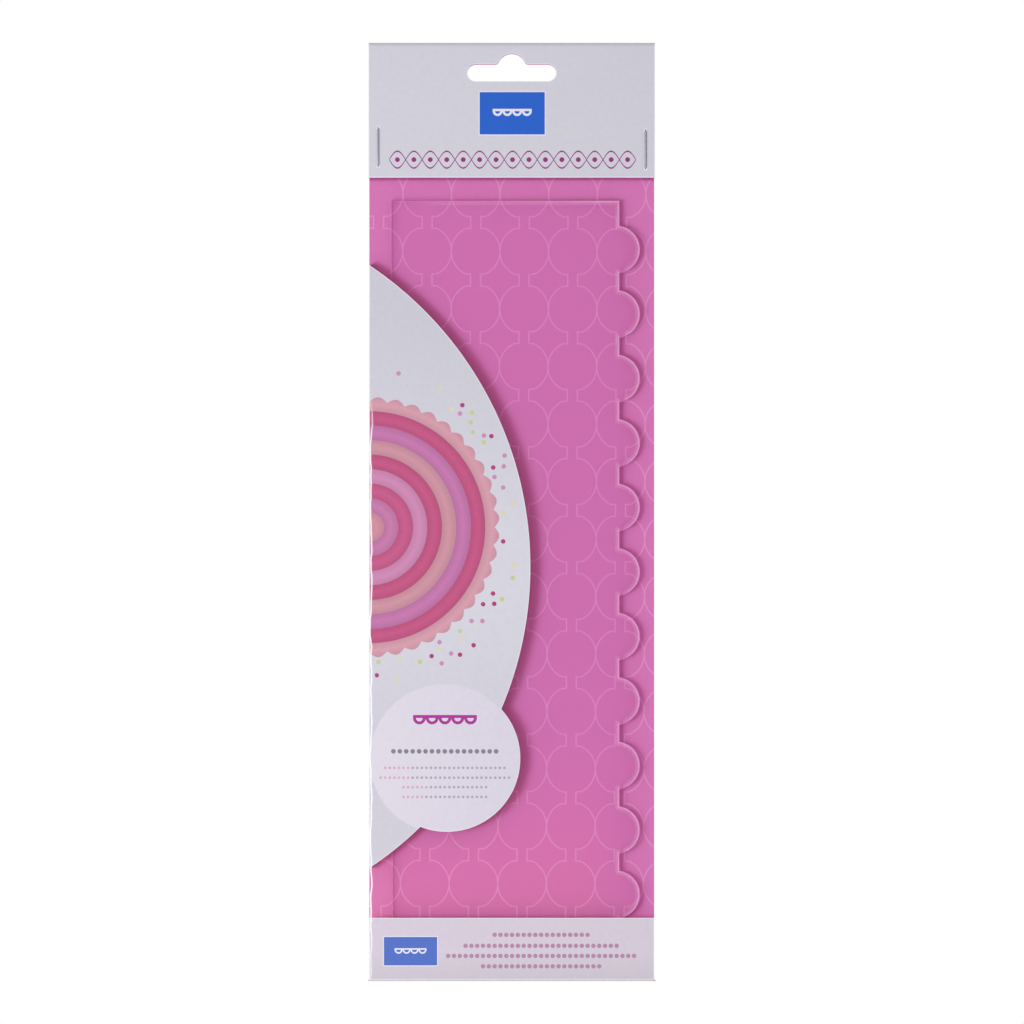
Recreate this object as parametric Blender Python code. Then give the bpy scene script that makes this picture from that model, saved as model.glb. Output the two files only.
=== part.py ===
"""A cake side scraper in its retail pack, built in Blender.

The scraper is a flat plate of clear acrylic with a straight grip edge and a ribbed working edge.
It stands in a folded card wallet, one die-cut sheet with five leaves: the backing card, a narrow
spine at its side and at its foot, and a flap on each spine. The wallet is in a clear film bag, and
a folded header card is stapled over the bag's mouth. A peg goes through the slot in the header and
the backing card.

Axes: +X to the right seen from the front, +Y to the back, +Z up. The origin is the top of the
hang slot, where a peg carries the pack, in the middle of the backing card's thickness.
"""

import math

import bmesh
import bpy
from mathutils import Vector

MM = 0.001

# Scraper blade
BLADE_HEIGHT = 254.0 * MM
BLADE_BODY_WIDTH = 74.1 * MM  # grip edge to the lands between the ribs
BLADE_THICKNESS = 3.0 * MM
RIB_CHORD = 15.5 * MM  # height of a rib where it leaves the land
RIB_LAND = 5.595 * MM  # straight stretch between two ribs
RIB_DEPTH = 6.7 * MM  # how far a rib stands out from the land
TOP_MARGIN = 8.2 * MM  # plain edge above the top rib

# Sheet stock and the air between sheets
BOARD = 0.45 * MM
FILM = 0.1 * MM
GAP = 0.3 * MM
ARC_SAG = 0.01 * MM  # how far a straight piece may stray from the arc that it stands for

# Backing card
GRIP_MARGIN = 7.5 * MM  # card beside the blade's grip edge
RIB_MARGIN = 4.9 * MM  # card beside the rib tips
CARD_TOP_GAP = 0.9 * MM  # backing card's top edge to the header's fold

# Side flap: a segment of a large circle with a round badge that stands out of it
FLAP_DROP = 21.05 * MM  # blade's top edge to the flap's upper end
FLAP_RISE = 36.5 * MM  # card's bottom edge to the flap's lower end
FLAP_REACH = 52.7 * MM  # crease to the middle of the large arc
BADGE_RADIUS = 24.0 * MM
BADGE_FROM_CREASE = 25.4 * MM
BADGE_RISE = 72.4 * MM  # card's bottom edge to the badge's centre

# Bottom flap
BOTTOM_FLAP_HEIGHT = 20.5 * MM

# How the creased board stands
SIDE_FLAP_LIFT = math.radians(1.0)  # the crease springs open this far
BOTTOM_FLAP_LIFT = math.radians(1.0)
FLAP_SWING = math.radians(1.0)  # a flap lifts this much more before it meets the film

# Header card
HEADER_DROP = 44.5 * MM
HEADER_OVERHANG = 0.25 * MM  # header past the backing card on each side
HEADER_CLEARANCE = 7.25 * MM  # blade's top edge to the header's lower edge
FLARE_STEPS = 5  # straight pieces in the bend at the front leaf's lower edge

# Hang slot: a bar with round ends and a round peak in its middle
SLOT_WIDTH = 29.1 * MM
SLOT_BAR_HEIGHT = 5.55 * MM
SLOT_HEIGHT = 9.05 * MM
SLOT_PEAK_RADIUS = 4.7 * MM
SLOT_FILLET = 1.2 * MM
SLOT_TOP_MARGIN = 3.5 * MM  # header's top edge to the slot's peak
CARD_SLOT_DROP = 0.2 * MM  # the backing card's slot is punched this much lower

# Staples
STAPLE_CROWN = 13.0 * MM
STAPLE_WIRE = 0.5 * MM
STAPLE_BEND = 0.5 * MM  # radius of the wire's bends, at its middle
STAPLE_CLINCH = 2.6 * MM
STAPLE_INSET = 2.85 * MM  # card's side edge to the wire
STAPLE_HOLE_PLAY = 0.15 * MM
STAPLE_SEAT = 0.05 * MM  # air between the wire and the board that it lies on
LEFT_STAPLE_RISE = 3.9 * MM  # header's lower edge to the lower end of the crown
RIGHT_STAPLE_RISE = 3.1 * MM

# Film bag
BAG_ABOVE_STAPLE = 3.7 * MM
BAG_SLACK = 0.3 * MM  # how much further the film bellies out than the side flap lifts
BAG_UNDER_HEADER = 1.2 * MM  # how far up behind the header the film is still coming down
SLIDE_TRAVEL = 3.0 * MM  # how far the blade can rise in the wallet
BAG_COLUMNS = 14
BAG_ROWS = 20
BAG_FALL_ROWS = 6

# Depths, from the middle of the backing card towards the front
panel_front = -BOARD / 2
panel_back = BOARD / 2
blade_back = panel_front - GAP
blade_front = blade_back - BLADE_THICKNESS
leaf_back = blade_front - GAP
leaf_front = leaf_back - BOARD
crease_depth = (blade_front + leaf_back) / 2
flat_film = panel_back + GAP + FILM  # the film's outside where it is pressed flat
header_half = flat_film + GAP + BOARD / 2  # middle of each header leaf
bottom_flap_lifts = BOTTOM_FLAP_HEIGHT * math.sin(BOTTOM_FLAP_LIFT + FLAP_SWING)
side_flap_lifts = FLAP_REACH * math.sin(SIDE_FLAP_LIFT + FLAP_SWING)
film_belly = max(0.0, side_flap_lifts - bottom_flap_lifts) + BAG_SLACK

# Widths, from the pack's middle line
card_width = GRIP_MARGIN + BLADE_BODY_WIDTH + RIB_DEPTH + RIB_MARGIN
card_left = -card_width / 2
card_right = card_width / 2
grip_edge = card_left + GRIP_MARGIN
land_edge = grip_edge + BLADE_BODY_WIDTH
rib_tips = land_edge + RIB_DEPTH
crease_side = card_left + BOARD / 2
bag_half = card_width / 2 + GAP + FILM

# Heights, from the top of the hang slot
header_top = SLOT_TOP_MARGIN
header_bottom = header_top - HEADER_DROP
blade_top = header_bottom - HEADER_CLEARANCE
blade_bottom = blade_top - BLADE_HEIGHT
spine_top = blade_bottom - GAP
card_bottom = spine_top - BOARD
crease_height = card_bottom + BOARD / 2
bag_bottom = card_bottom - GAP - FILM
fold_centre = header_top - header_half - BOARD / 2
card_top = header_top - CARD_TOP_GAP - BOARD
left_crown_top = header_bottom + LEFT_STAPLE_RISE + STAPLE_CROWN
right_crown_top = header_bottom + RIGHT_STAPLE_RISE + STAPLE_CROWN
bag_mouth = max(left_crown_top, right_crown_top) + BAG_ABOVE_STAPLE
flap_low = card_bottom + FLAP_RISE
flap_high = blade_top - FLAP_DROP
film_falls = blade_top + SLIDE_TRAVEL + GAP
film_flat = header_bottom + BAG_UNDER_HEADER


def clear_scene():
    for old in list(bpy.data.objects):
        bpy.data.objects.remove(old, do_unlink=True)


def material(name, colour, roughness, metallic=0.0, alpha=1.0):
    """A Principled material with the part's colour, roughness and metallic value."""
    made = bpy.data.materials.new(name)
    made.use_nodes = True
    shader = made.node_tree.nodes["Principled BSDF"]
    shader.inputs["Base Color"].default_value = (*colour, 1.0)
    shader.inputs["Roughness"].default_value = roughness
    shader.inputs["Metallic"].default_value = metallic
    shader.inputs["Alpha"].default_value = alpha
    return made


def add_object(name, mesh, look):
    made = bpy.data.objects.new(name, mesh)
    bpy.context.scene.collection.objects.link(made)
    if look is not None:
        mesh.materials.append(look)
    return made


def arc(centre, radius, start, end):
    """Points on a circle from angle start to angle end, both ends included."""
    longest_piece = 2 * math.acos(1 - ARC_SAG / radius)
    steps = math.ceil(abs(end - start) / longest_piece)
    turn = (end - start) / steps
    return [
        (
            centre[0] + radius * math.cos(start + turn * i),
            centre[1] + radius * math.sin(start + turn * i),
        )
        for i in range(steps + 1)
    ]


def smooth_step(low, high, value):
    """0 below low, 1 above high and an even S between them."""
    share = min(1.0, max(0.0, (value - low) / (high - low)))
    return share * share * (3 - 2 * share)


def extrude_outline(name, outline, start, direction, look):
    """A prism: the outline's points are 3-D vectors, moved to start and swept along direction."""
    shape = bmesh.new()
    face = shape.faces.new([shape.verts.new(Vector(start) + Vector(p)) for p in outline])
    swept = bmesh.ops.extrude_face_region(shape, geom=[face])
    moved = [v for v in swept["geom"] if isinstance(v, bmesh.types.BMVert)]
    bmesh.ops.translate(shape, verts=moved, vec=Vector(direction))
    bmesh.ops.recalc_face_normals(shape, faces=shape.faces)
    mesh = bpy.data.meshes.new(name)
    shape.to_mesh(mesh)
    shape.free()
    return add_object(name, mesh, look)


def sheet_plate(name, outline, front, back, look):
    """A flat sheet that faces the front. The outline is a list of (x, z)."""
    points = [(x, 0.0, z) for x, z in outline]
    return extrude_outline(name, points, (0, front, 0), (0, back - front, 0), look)


def box(name, low, high, look=None):
    corners = [(low[0], low[2]), (high[0], low[2]), (high[0], high[2]), (low[0], high[2])]
    return sheet_plate(name, corners, low[1], high[1], look)


def boolean(target, tool, operation):
    """Cuts or joins with a tool, which stays as a hidden wire guide."""
    modifier = target.modifiers.new(f"{operation.lower()}_{tool.name}", "BOOLEAN")
    modifier.operation = operation
    modifier.solver = "EXACT"
    modifier.object = tool
    tool.hide_render = True
    tool.display_type = "WIRE"


def hang_slot_outline():
    """The slot as (x, z): down one side of the peak, round the bar, and up the other side."""
    bar_top = -(SLOT_HEIGHT - SLOT_BAR_HEIGHT)
    bar_radius = SLOT_BAR_HEIGHT / 2
    bar_middle = bar_top - bar_radius
    end_centre = SLOT_WIDTH / 2 - bar_radius
    peak_middle = -SLOT_PEAK_RADIUS
    reach = SLOT_PEAK_RADIUS + SLOT_FILLET
    fillet_height = bar_top + SLOT_FILLET
    fillet_side = math.sqrt(reach**2 - (fillet_height - peak_middle) ** 2)
    lean = math.atan2(fillet_height - peak_middle, fillet_side)
    peak = arc((0, peak_middle), SLOT_PEAK_RADIUS, math.pi / 2, lean)
    fillet = arc((fillet_side, fillet_height), SLOT_FILLET, math.pi + lean, math.pi * 1.5)
    end = arc((end_centre, bar_middle), bar_radius, math.pi / 2, -math.pi / 2)
    right = peak + fillet + end
    left = [(-x, z) for x, z in reversed(right[1:])]
    return right + left


def slot_cutter(tag, drop=0.0):
    outline = [(x, z - drop) for x, z in hang_slot_outline()]
    reach = header_half + BOARD
    return sheet_plate(f"slot_{tag}", outline, -reach, reach, None)


def staple_leg_heights(rise):
    """Heights of the two legs of a staple whose crown starts this far above the header's edge."""
    low = header_bottom + rise + STAPLE_WIRE / 2
    return low, low + STAPLE_CROWN - STAPLE_WIRE


def staple_hole_cutters(tag):
    """Four round cutters, one for each staple leg, through every sheet."""
    radius = STAPLE_WIRE / 2 + STAPLE_HOLE_PLAY
    reach = header_half + 2 * BOARD
    cutters = []
    for side, rise in ((-1, LEFT_STAPLE_RISE), (1, RIGHT_STAPLE_RISE)):
        for number, height in enumerate(staple_leg_heights(rise)):
            where = (side * (card_width / 2 - STAPLE_INSET), height)
            round_hole = arc(where, radius, 0, math.tau)[:-1]
            name = f"hole_{tag}_{'left' if side < 0 else 'right'}_{number}"
            cutters.append(sheet_plate(name, round_hole, -reach, reach, None))
    return cutters


def rib_layout():
    """(number of ribs, arc radius, arc centre's x) for the working edge."""
    pitch = RIB_CHORD + RIB_LAND
    count = round((BLADE_HEIGHT - TOP_MARGIN + RIB_LAND) / pitch)
    radius = ((RIB_CHORD / 2) ** 2 + RIB_DEPTH**2) / (2 * RIB_DEPTH)
    return count, radius, land_edge + RIB_DEPTH - radius


def scraper_blade(look):
    """The acrylic plate, standing on the wallet's bottom spine. Its foot may cut the lowest rib."""
    count, radius, centre = rib_layout()
    half_angle = math.atan2(RIB_CHORD / 2, land_edge - centre)
    outline = [(grip_edge, blade_top), (grip_edge, blade_bottom)]
    for i in reversed(range(count)):
        middle = blade_top - TOP_MARGIN - RIB_CHORD / 2 - i * (RIB_CHORD + RIB_LAND)
        start = -half_angle
        if middle - RIB_CHORD / 2 < blade_bottom:
            start = math.asin((blade_bottom - middle) / radius)
        elif i == count - 1:
            outline.append((land_edge, blade_bottom))
        outline += arc((centre, middle), radius, start, half_angle)
    outline.append((land_edge, blade_top))
    return sheet_plate("scraper_blade", outline, blade_front, blade_back, look)


def backing_card(look):
    """The wallet's back panel. It runs up behind the header, with its own slot and staple holes."""
    panel = box(
        "backing_card",
        (card_left, panel_front, card_bottom),
        (card_right, panel_back, card_top),
        look,
    )
    boolean(panel, slot_cutter("card", CARD_SLOT_DROP), "DIFFERENCE")
    for cutter in staple_hole_cutters("card"):
        boolean(panel, cutter, "DIFFERENCE")
    return panel


def side_spine(look):
    """The card's narrow leaf beside the grip edge, between the panel's crease and the flap's."""
    low = (card_left, blade_front, flap_low)
    return box("side_spine", low, (card_left + BOARD, blade_back, flap_high), look)


def bottom_spine(look):
    """The card's narrow leaf that the blade stands on."""
    low = (card_left, blade_front, card_bottom)
    return box("bottom_spine", low, (card_right, blade_back, spine_top), look)


def side_flap_outline():
    """The flap as (x, z) from the crease: the large arc, the badge's arc and the crease edge."""
    half = (flap_high - flap_low) / 2
    large = (half**2 + FLAP_REACH**2) / (2 * FLAP_REACH)
    centre = Vector((FLAP_REACH - large - BOARD / 2, (flap_low + flap_high) / 2))
    badge = Vector((BADGE_FROM_CREASE - BOARD / 2, card_bottom + BADGE_RISE))
    apart = badge - centre
    along = (large**2 - BADGE_RADIUS**2 + apart.length_squared) / (2 * apart.length)
    across = math.sqrt(max(0.0, large**2 - along**2))
    foot = centre + apart.normalized() * along
    side = Vector((-apart.y, apart.x)).normalized() * across
    lower, upper = foot - side, foot + side

    def sweep(middle, radius, start, end):
        first = math.atan2(start.y - middle.y, start.x - middle.x)
        last = math.atan2(end.y - middle.y, end.x - middle.x)
        return arc(middle, radius, first, last)

    low_end = Vector((-BOARD / 2, flap_low))
    high_end = Vector((-BOARD / 2, flap_high))
    outline = sweep(centre, large, low_end, lower)
    outline += sweep(badge, BADGE_RADIUS, lower, upper)[1:-1]
    outline += sweep(centre, large, upper, high_end)
    return outline


def side_flap(look):
    """The flap hangs on its crease, which is its object's origin line, and stands a little open."""
    outline = side_flap_outline()
    front, back = leaf_front - crease_depth, leaf_back - crease_depth
    flap = sheet_plate("side_flap", outline, front, back, look)
    flap.location = (crease_side, crease_depth, 0.0)
    flap.rotation_euler = (0.0, 0.0, -SIDE_FLAP_LIFT)
    return flap


def bottom_flap(look):
    """The flap that turns up over the blade's foot, with its origin line on its crease."""
    low, high = -BOARD / 2, BOTTOM_FLAP_HEIGHT - BOARD / 2
    flap = box(
        "bottom_flap",
        (card_left, leaf_front - crease_depth, low),
        (card_right, leaf_back - crease_depth, high),
        look,
    )
    flap.location = (0.0, crease_depth, crease_height)
    flap.rotation_euler = (BOTTOM_FLAP_LIFT, 0.0, 0.0)
    return flap


def film_height(height):
    """How far the film's outside stands in front of the card's middle, where nothing lifts it."""
    over_flap = -leaf_front + bottom_flap_lifts + GAP + FILM
    over_blade = -blade_front + GAP + FILM
    body = over_flap + (over_blade - over_flap) * smooth_step(flap_high, blade_top, height)
    return body + (flat_film - body) * smooth_step(film_falls, film_flat, height)


def film_front(x, height):
    """The film's front as a depth, over the card's width and height."""
    rise = film_height(height)
    across = (x + bag_half) / (2 * bag_half)
    up = min(1.0, max(0.0, (height - bag_bottom) / (film_falls - bag_bottom)))
    belly = film_belly * 4 * across * (1 - across) * (1 - (2 * up - 1) ** 4)
    flap_end = card_bottom + BOTTOM_FLAP_HEIGHT
    falls = smooth_step(flap_end + GAP, flap_end + BOTTOM_FLAP_HEIGHT, height)
    beside_ribs = min(1.0, max(0.0, (bag_half - x) / (bag_half - rib_tips - GAP)))
    share = 1 - falls * (1 - beside_ribs)
    return -(flat_film + (rise - flat_film) * share + belly * beside_ribs)


def bag_heights():
    """Heights of the bag's rows: even ones, and closer ones where the film comes down."""
    step = (flap_high - bag_bottom) / BAG_ROWS
    even = [bag_bottom + step * i for i in range(BAG_ROWS + 1)]
    step = (film_flat - film_falls) / BAG_FALL_ROWS
    fall = [film_falls + step * i for i in range(BAG_FALL_ROWS + 1)]
    return even + [(flap_high + film_falls) / 2] + fall + [bag_mouth]


def film_bag(look):
    """An envelope of film, open at the top: rows bridged into a tube, closed at the bottom."""
    beside_ribs = rib_tips + GAP
    step = (beside_ribs + bag_half) / BAG_COLUMNS
    columns = [-bag_half + step * i for i in range(BAG_COLUMNS + 1)]
    columns += [(beside_ribs + bag_half) / 2, bag_half]
    shape = bmesh.new()
    rows = []
    for height in bag_heights():
        ring = [(-bag_half, flat_film)]
        ring += [(x, film_front(x, height)) for x in columns]
        ring += [(bag_half, flat_film)]
        verts = [shape.verts.new((x, y, height)) for x, y in ring]
        edges = [shape.edges.new((verts[i - 1], verts[i])) for i in range(len(verts))]
        rows.append((verts, edges))
    for below, above in zip(rows, rows[1:]):
        bmesh.ops.bridge_loops(shape, edges=below[1] + above[1])
    shape.faces.new(rows[0][0])
    bmesh.ops.recalc_face_normals(shape, faces=shape.faces)
    mesh = bpy.data.meshes.new("clear_bag")
    shape.to_mesh(mesh)
    shape.free()
    bag = add_object("clear_bag", mesh, look)
    thicken = bag.modifiers.new("film_thickness", "SOLIDIFY")
    thicken.thickness = FILM
    thicken.offset = -1.0
    thicken.use_even_offset = True
    for cutter in staple_hole_cutters("bag"):
        boolean(bag, cutter, "DIFFERENCE")
    return bag


def header_middle_line():
    """The folded header seen from its side, as (y, z) along the middle of the board."""
    line = [(header_half, header_bottom)]
    line += arc((0, fold_centre), header_half, 0, math.pi)
    flare_top = film_flat + BOARD
    for i in range(FLARE_STEPS + 1):
        height = flare_top - (flare_top - header_bottom) * i / FLARE_STEPS
        line.append((-(film_height(height) + GAP + BOARD / 2), height))
    return line


def offset_line(line, distance):
    """The line moved sideways by distance, by its own direction at each point."""
    moved = []
    for i, point in enumerate(line):
        before, after = Vector(line[max(0, i - 1)]), Vector(line[min(len(line) - 1, i + 1)])
        along = (after - before).normalized()
        moved.append((point[0] - along.y * distance, point[1] + along.x * distance))
    return moved


def header_card(look):
    """One board folded over the bag's mouth, slotted for a peg and pierced by the staples."""
    line = header_middle_line()
    section = offset_line(line, BOARD / 2) + offset_line(line, -BOARD / 2)[::-1]
    half = card_width / 2 + HEADER_OVERHANG
    points = [(0.0, y, z) for y, z in section]
    header = extrude_outline("header_card", points, (-half, 0, 0), (2 * half, 0, 0), look)
    boolean(header, slot_cutter("header"), "DIFFERENCE")
    for cutter in staple_hole_cutters("header"):
        boolean(header, cutter, "DIFFERENCE")
    return header


def staple(name, side, rise, look):
    """A wire staple: crown on the header's front, legs through the pack, ends bent on the back."""
    low, high = staple_leg_heights(rise)
    out = STAPLE_WIRE / 2 + STAPLE_SEAT
    crown_depth = -(header_half + BOARD / 2 + out)
    clinch_depth = header_half + BOARD / 2 + out
    corners = (
        Vector((clinch_depth, low + STAPLE_CLINCH)),
        Vector((clinch_depth, low)),
        Vector((crown_depth, low)),
        Vector((crown_depth, high)),
        Vector((clinch_depth, high)),
        Vector((clinch_depth, high - STAPLE_CLINCH)),
    )
    path = [corners[0]]
    for before, corner, after in zip(corners, corners[1:], corners[2:]):
        towards, away = (before - corner).normalized(), (after - corner).normalized()
        centre = corner + (towards + away) * STAPLE_BEND
        for along, across in arc((0, 0), STAPLE_BEND, 0, math.pi / 2):
            path.append(centre - away * along - towards * across)
    path.append(corners[-1])
    curve = bpy.data.curves.new(name, "CURVE")
    curve.dimensions = "3D"
    curve.bevel_depth = STAPLE_WIRE / 2
    curve.bevel_resolution = 2
    curve.use_fill_caps = True
    spline = curve.splines.new("POLY")
    spline.points.add(len(path) - 1)
    x = side * (card_width / 2 - STAPLE_INSET)
    for point, (y, z) in zip(spline.points, path):
        point.co = (x, y, z, 1.0)
    return add_object(name, curve, look)


def smooth_rounds(obj, angle=math.radians(40)):
    obj.data.shade_smooth()
    obj.data.set_sharp_from_angle(angle=angle)


def main():
    clear_scene()
    acrylic = material("clear_acrylic", (0.86, 0.90, 0.92), 0.03, alpha=0.3)
    pink_print = material("pink_printed_board", (0.63, 0.17, 0.43), 0.35)
    white_print = material("white_printed_board", (0.78, 0.76, 0.82), 0.35)
    clear_film = material("clear_film", (0.9, 0.9, 0.92), 0.08, alpha=0.15)
    steel_wire = material("galvanised_wire", (0.55, 0.55, 0.57), 0.35, metallic=1.0)

    wallet = backing_card(pink_print)
    blade = scraper_blade(acrylic)
    spines = [side_spine(white_print), bottom_spine(white_print)]
    flaps = [side_flap(white_print), bottom_flap(white_print)]
    header = header_card(white_print)
    bag = film_bag(clear_film)
    staples = [
        staple("staple_left", -1, LEFT_STAPLE_RISE, steel_wire),
        staple("staple_right", 1, RIGHT_STAPLE_RISE, steel_wire),
    ]
    for piece in [blade, header, bag, *spines, *flaps, *staples]:
        piece.parent = wallet
    for rounded in [blade, header, flaps[0]]:
        smooth_rounds(rounded)

    count, _, _ = rib_layout()
    print(f"{count} ribs on a blade {(rib_tips - grip_edge) / MM:.1f} mm wide")
    print(f"pack {2 * bag_half / MM:.1f} mm wide and {(header_top - bag_bottom) / MM:.1f} mm tall")


main()
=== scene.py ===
# %% [markdown]
# # A cake side scraper in its hanging pack
# A side scraper is a flat plate that a baker draws round an iced cake. This one is clear acrylic,
# straight on the side that the hand holds and ribbed on the side that combs the icing. It hangs in
# a shop in a folded card wallet, inside a clear film bag with a stapled header card.
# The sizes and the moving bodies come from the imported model, and this script gives them their looks.

import math

import bmesh
import bpy
from mathutils import Matrix, Vector, noise


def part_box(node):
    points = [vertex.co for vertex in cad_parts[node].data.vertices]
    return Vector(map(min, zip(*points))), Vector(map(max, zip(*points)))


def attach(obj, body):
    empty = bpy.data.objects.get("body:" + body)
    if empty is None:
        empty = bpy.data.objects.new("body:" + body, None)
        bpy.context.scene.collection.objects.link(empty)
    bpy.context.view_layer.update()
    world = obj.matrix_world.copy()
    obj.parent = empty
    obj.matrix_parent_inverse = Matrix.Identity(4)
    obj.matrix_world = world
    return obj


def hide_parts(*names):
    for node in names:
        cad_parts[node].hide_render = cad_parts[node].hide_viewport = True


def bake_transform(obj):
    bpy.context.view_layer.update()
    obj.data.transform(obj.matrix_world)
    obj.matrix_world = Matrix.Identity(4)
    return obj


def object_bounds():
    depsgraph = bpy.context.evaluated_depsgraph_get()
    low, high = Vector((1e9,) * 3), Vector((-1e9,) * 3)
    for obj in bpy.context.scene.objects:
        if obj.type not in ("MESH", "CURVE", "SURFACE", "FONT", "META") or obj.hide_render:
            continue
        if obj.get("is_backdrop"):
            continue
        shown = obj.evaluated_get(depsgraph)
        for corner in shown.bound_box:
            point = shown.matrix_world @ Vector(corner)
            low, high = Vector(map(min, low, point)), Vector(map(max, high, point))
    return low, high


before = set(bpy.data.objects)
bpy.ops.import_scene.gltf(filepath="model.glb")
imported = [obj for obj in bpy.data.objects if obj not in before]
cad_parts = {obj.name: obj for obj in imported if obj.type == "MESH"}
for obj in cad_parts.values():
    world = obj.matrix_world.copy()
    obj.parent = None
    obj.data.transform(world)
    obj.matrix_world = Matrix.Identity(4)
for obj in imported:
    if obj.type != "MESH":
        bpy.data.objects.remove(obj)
cad_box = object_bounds()
MM = 0.001
print("nodes:", sorted(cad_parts))

# %% [markdown]
# ## Measuring the pieces
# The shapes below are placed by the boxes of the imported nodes, and the prints in millimetres from
# the origin, which is the top of the hang slot. x runs to the right, y to the back and z up.

# %% Read the boxes
blade_low, blade_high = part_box("scraper_blade")
header_low, header_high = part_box("header_card")
bag_low, bag_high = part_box("clear_bag")
foot_low, foot_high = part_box("bottom_flap")
card_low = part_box("backing_card")[0]
flap_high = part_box("side_flap")[1]

GAP = 0.3 * MM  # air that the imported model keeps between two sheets
BOARD = 0.45 * MM  # about 350 g/m2
for name in ("scraper_blade", "backing_card", "clear_bag"):
    low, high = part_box(name)
    print(name, "is", " x ".join(f"{size / MM:.1f}" for size in high - low), "mm")

# %% [markdown]
# ## Small helpers
# A colour on a swatch is a hex code in sRGB, while a renderer adds up light in linear values, so one
# function converts every colour. The next adds a node with its settings and its links, and the third
# starts a material. The last turns a finished bmesh into an object at the origin, with its place
# kept in its mesh.


# %% Colours
def ink(code):
    """An sRGB hex colour as linear red, green and blue with alpha 1."""
    channels = [int(code[i : i + 2], 16) / 255 for i in (1, 3, 5)]
    linear = [c / 12.92 if c <= 0.04045 else ((c + 0.055) / 1.055) ** 2.4 for c in channels]
    return (*linear, 1.0)


print(f"mid grey #808080 is {ink('#808080')[0]:.3f} in linear light")


# %% Nodes and materials
def add_node(tree, kind, inputs=(), **settings):
    """Adds a shader node and gives its first output in use.

    Inputs are a list in the order of the sockets, or a dict by name or number. Each is a value or
    another node's output.
    """
    node = tree.nodes.new("ShaderNode" + kind)
    for name, value in settings.items():
        setattr(node, name, value)
    for key, value in inputs.items() if isinstance(inputs, dict) else enumerate(inputs):
        if isinstance(value, bpy.types.NodeSocket):
            tree.links.new(value, node.inputs[key])
        else:
            node.inputs[key].default_value = value
    return next((socket for socket in node.outputs if socket.enabled), None)


def new_material(name):
    """An empty material and its node tree."""
    made = bpy.data.materials.new(name)
    made.use_nodes = True
    made.node_tree.nodes.clear()
    return made, made.node_tree


# %% Objects
def new_piece(name, shape, *materials, sharp=None):
    """Turns a bmesh into an object at the origin. Edges over the sharp angle stay crisp."""
    mesh = bpy.data.meshes.new(name)
    shape.to_mesh(mesh)
    shape.free()
    for made in materials:
        mesh.materials.append(made)
    if sharp is not None:
        mesh.shade_smooth()
        mesh.set_sharp_from_angle(angle=sharp)
    piece = bpy.data.objects.new(name, mesh)
    bpy.context.scene.collection.objects.link(piece)
    print(f"{name}: {len(mesh.vertices)} vertices, {len(mesh.polygons)} faces")
    return piece


# %% [markdown]
# ## Camera
# The pack is seen square from the front through a long lens, from so far away that leaves at
# different depths line up as in a flat drawing. One scale then holds all over the picture: the
# lens follows from how many millimetres the picture is wide at the front of the flaps.

# %% Place the camera
CAMERA_DISTANCE = 6.0
CLIP_END = 20.0
PICTURE_WIDTH = 334.85 * MM  # what the picture takes in at the front of the flaps
PICTURE_MIDDLE = Vector((0.08 * MM, 0.0, -150.03 * MM))
SENSOR = 36.0

camera_data = bpy.data.cameras.new("camera")
camera_data.sensor_width = SENSOR
camera_data.lens = SENSOR * (CAMERA_DISTANCE + foot_low.y) / PICTURE_WIDTH
camera_data.clip_end = CLIP_END
camera = bpy.data.objects.new("camera", camera_data)
camera.location = PICTURE_MIDDLE + Vector((0.0, -CAMERA_DISTANCE, 0.0))
camera.rotation_euler = (math.pi / 2, 0.0, 0.0)
bpy.context.scene.collection.objects.link(camera)
bpy.context.scene.camera = camera
print(f"lens {camera_data.lens:.1f} mm")

# %% [markdown]
# ## Light
# A pack is photographed in a light tent with one softbox: here it stands to the left, a little
# below the middle, so every leaf throws a short soft shadow up to the right. The rest of the light
# comes evenly from the white walls, which the world stands for. The two add up to a level at which
# a colour renders about as it is written. The camera, and what is mirrored or seen through glass,
# gets the world as plain white.

# %% Softbox
SOFTBOX_PLACE = Vector((-0.76, -1.0, -0.35))
SOFTBOX_WIDTH = 0.45
SOFTBOX_WATTS = 9.4

softbox_data = bpy.data.lights.new("softbox", "AREA")
softbox_data.shape = "SQUARE"
softbox_data.size = SOFTBOX_WIDTH
softbox_data.energy = SOFTBOX_WATTS
softbox = bpy.data.objects.new("softbox", softbox_data)
softbox.location = SOFTBOX_PLACE
softbox.rotation_euler = (PICTURE_MIDDLE - SOFTBOX_PLACE).to_track_quat("-Z", "Y").to_euler()
softbox.visible_camera = False
bpy.context.scene.collection.objects.link(softbox)
print("softbox at", tuple(SOFTBOX_PLACE), "m")

# %% White walls
WALL_LIGHT = 0.52


def seen_directly(tree):
    """1 on rays that show a thing itself, to the camera or in a mirror or a clear piece."""
    path = add_node(tree, "LightPath").node.outputs
    shown = add_node(tree, "Math", [path["Is Camera Ray"], path["Is Glossy Ray"]], operation="MAXIMUM")
    return add_node(tree, "Math", [shown, path["Is Transmission Ray"]], operation="MAXIMUM")


world = bpy.data.worlds.new("white_walls")
world.use_nodes = True
world.node_tree.nodes.clear()
tree = world.node_tree
strength = add_node(tree, "MapRange", {0: seen_directly(tree), 3: WALL_LIGHT, 4: 1.0})
walls = add_node(tree, "Background", {"Color": ink("#ffffff"), "Strength": strength})
add_node(tree, "OutputWorld", {"Surface": walls})
bpy.context.scene.world = world
bpy.context.scene.view_settings.view_transform = "Standard"
print(f"the walls give {WALL_LIGHT:.0%} of the light of a white world")

# %% [markdown]
# ## Floor
# The pack hangs on its peg at chest height, so the floor lies well below it and stays out of the
# front view. It is a plain pale disc. Part of what the camera sees of it is plain white and the
# rest is its own shade, so that it keeps its shadows.

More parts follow.
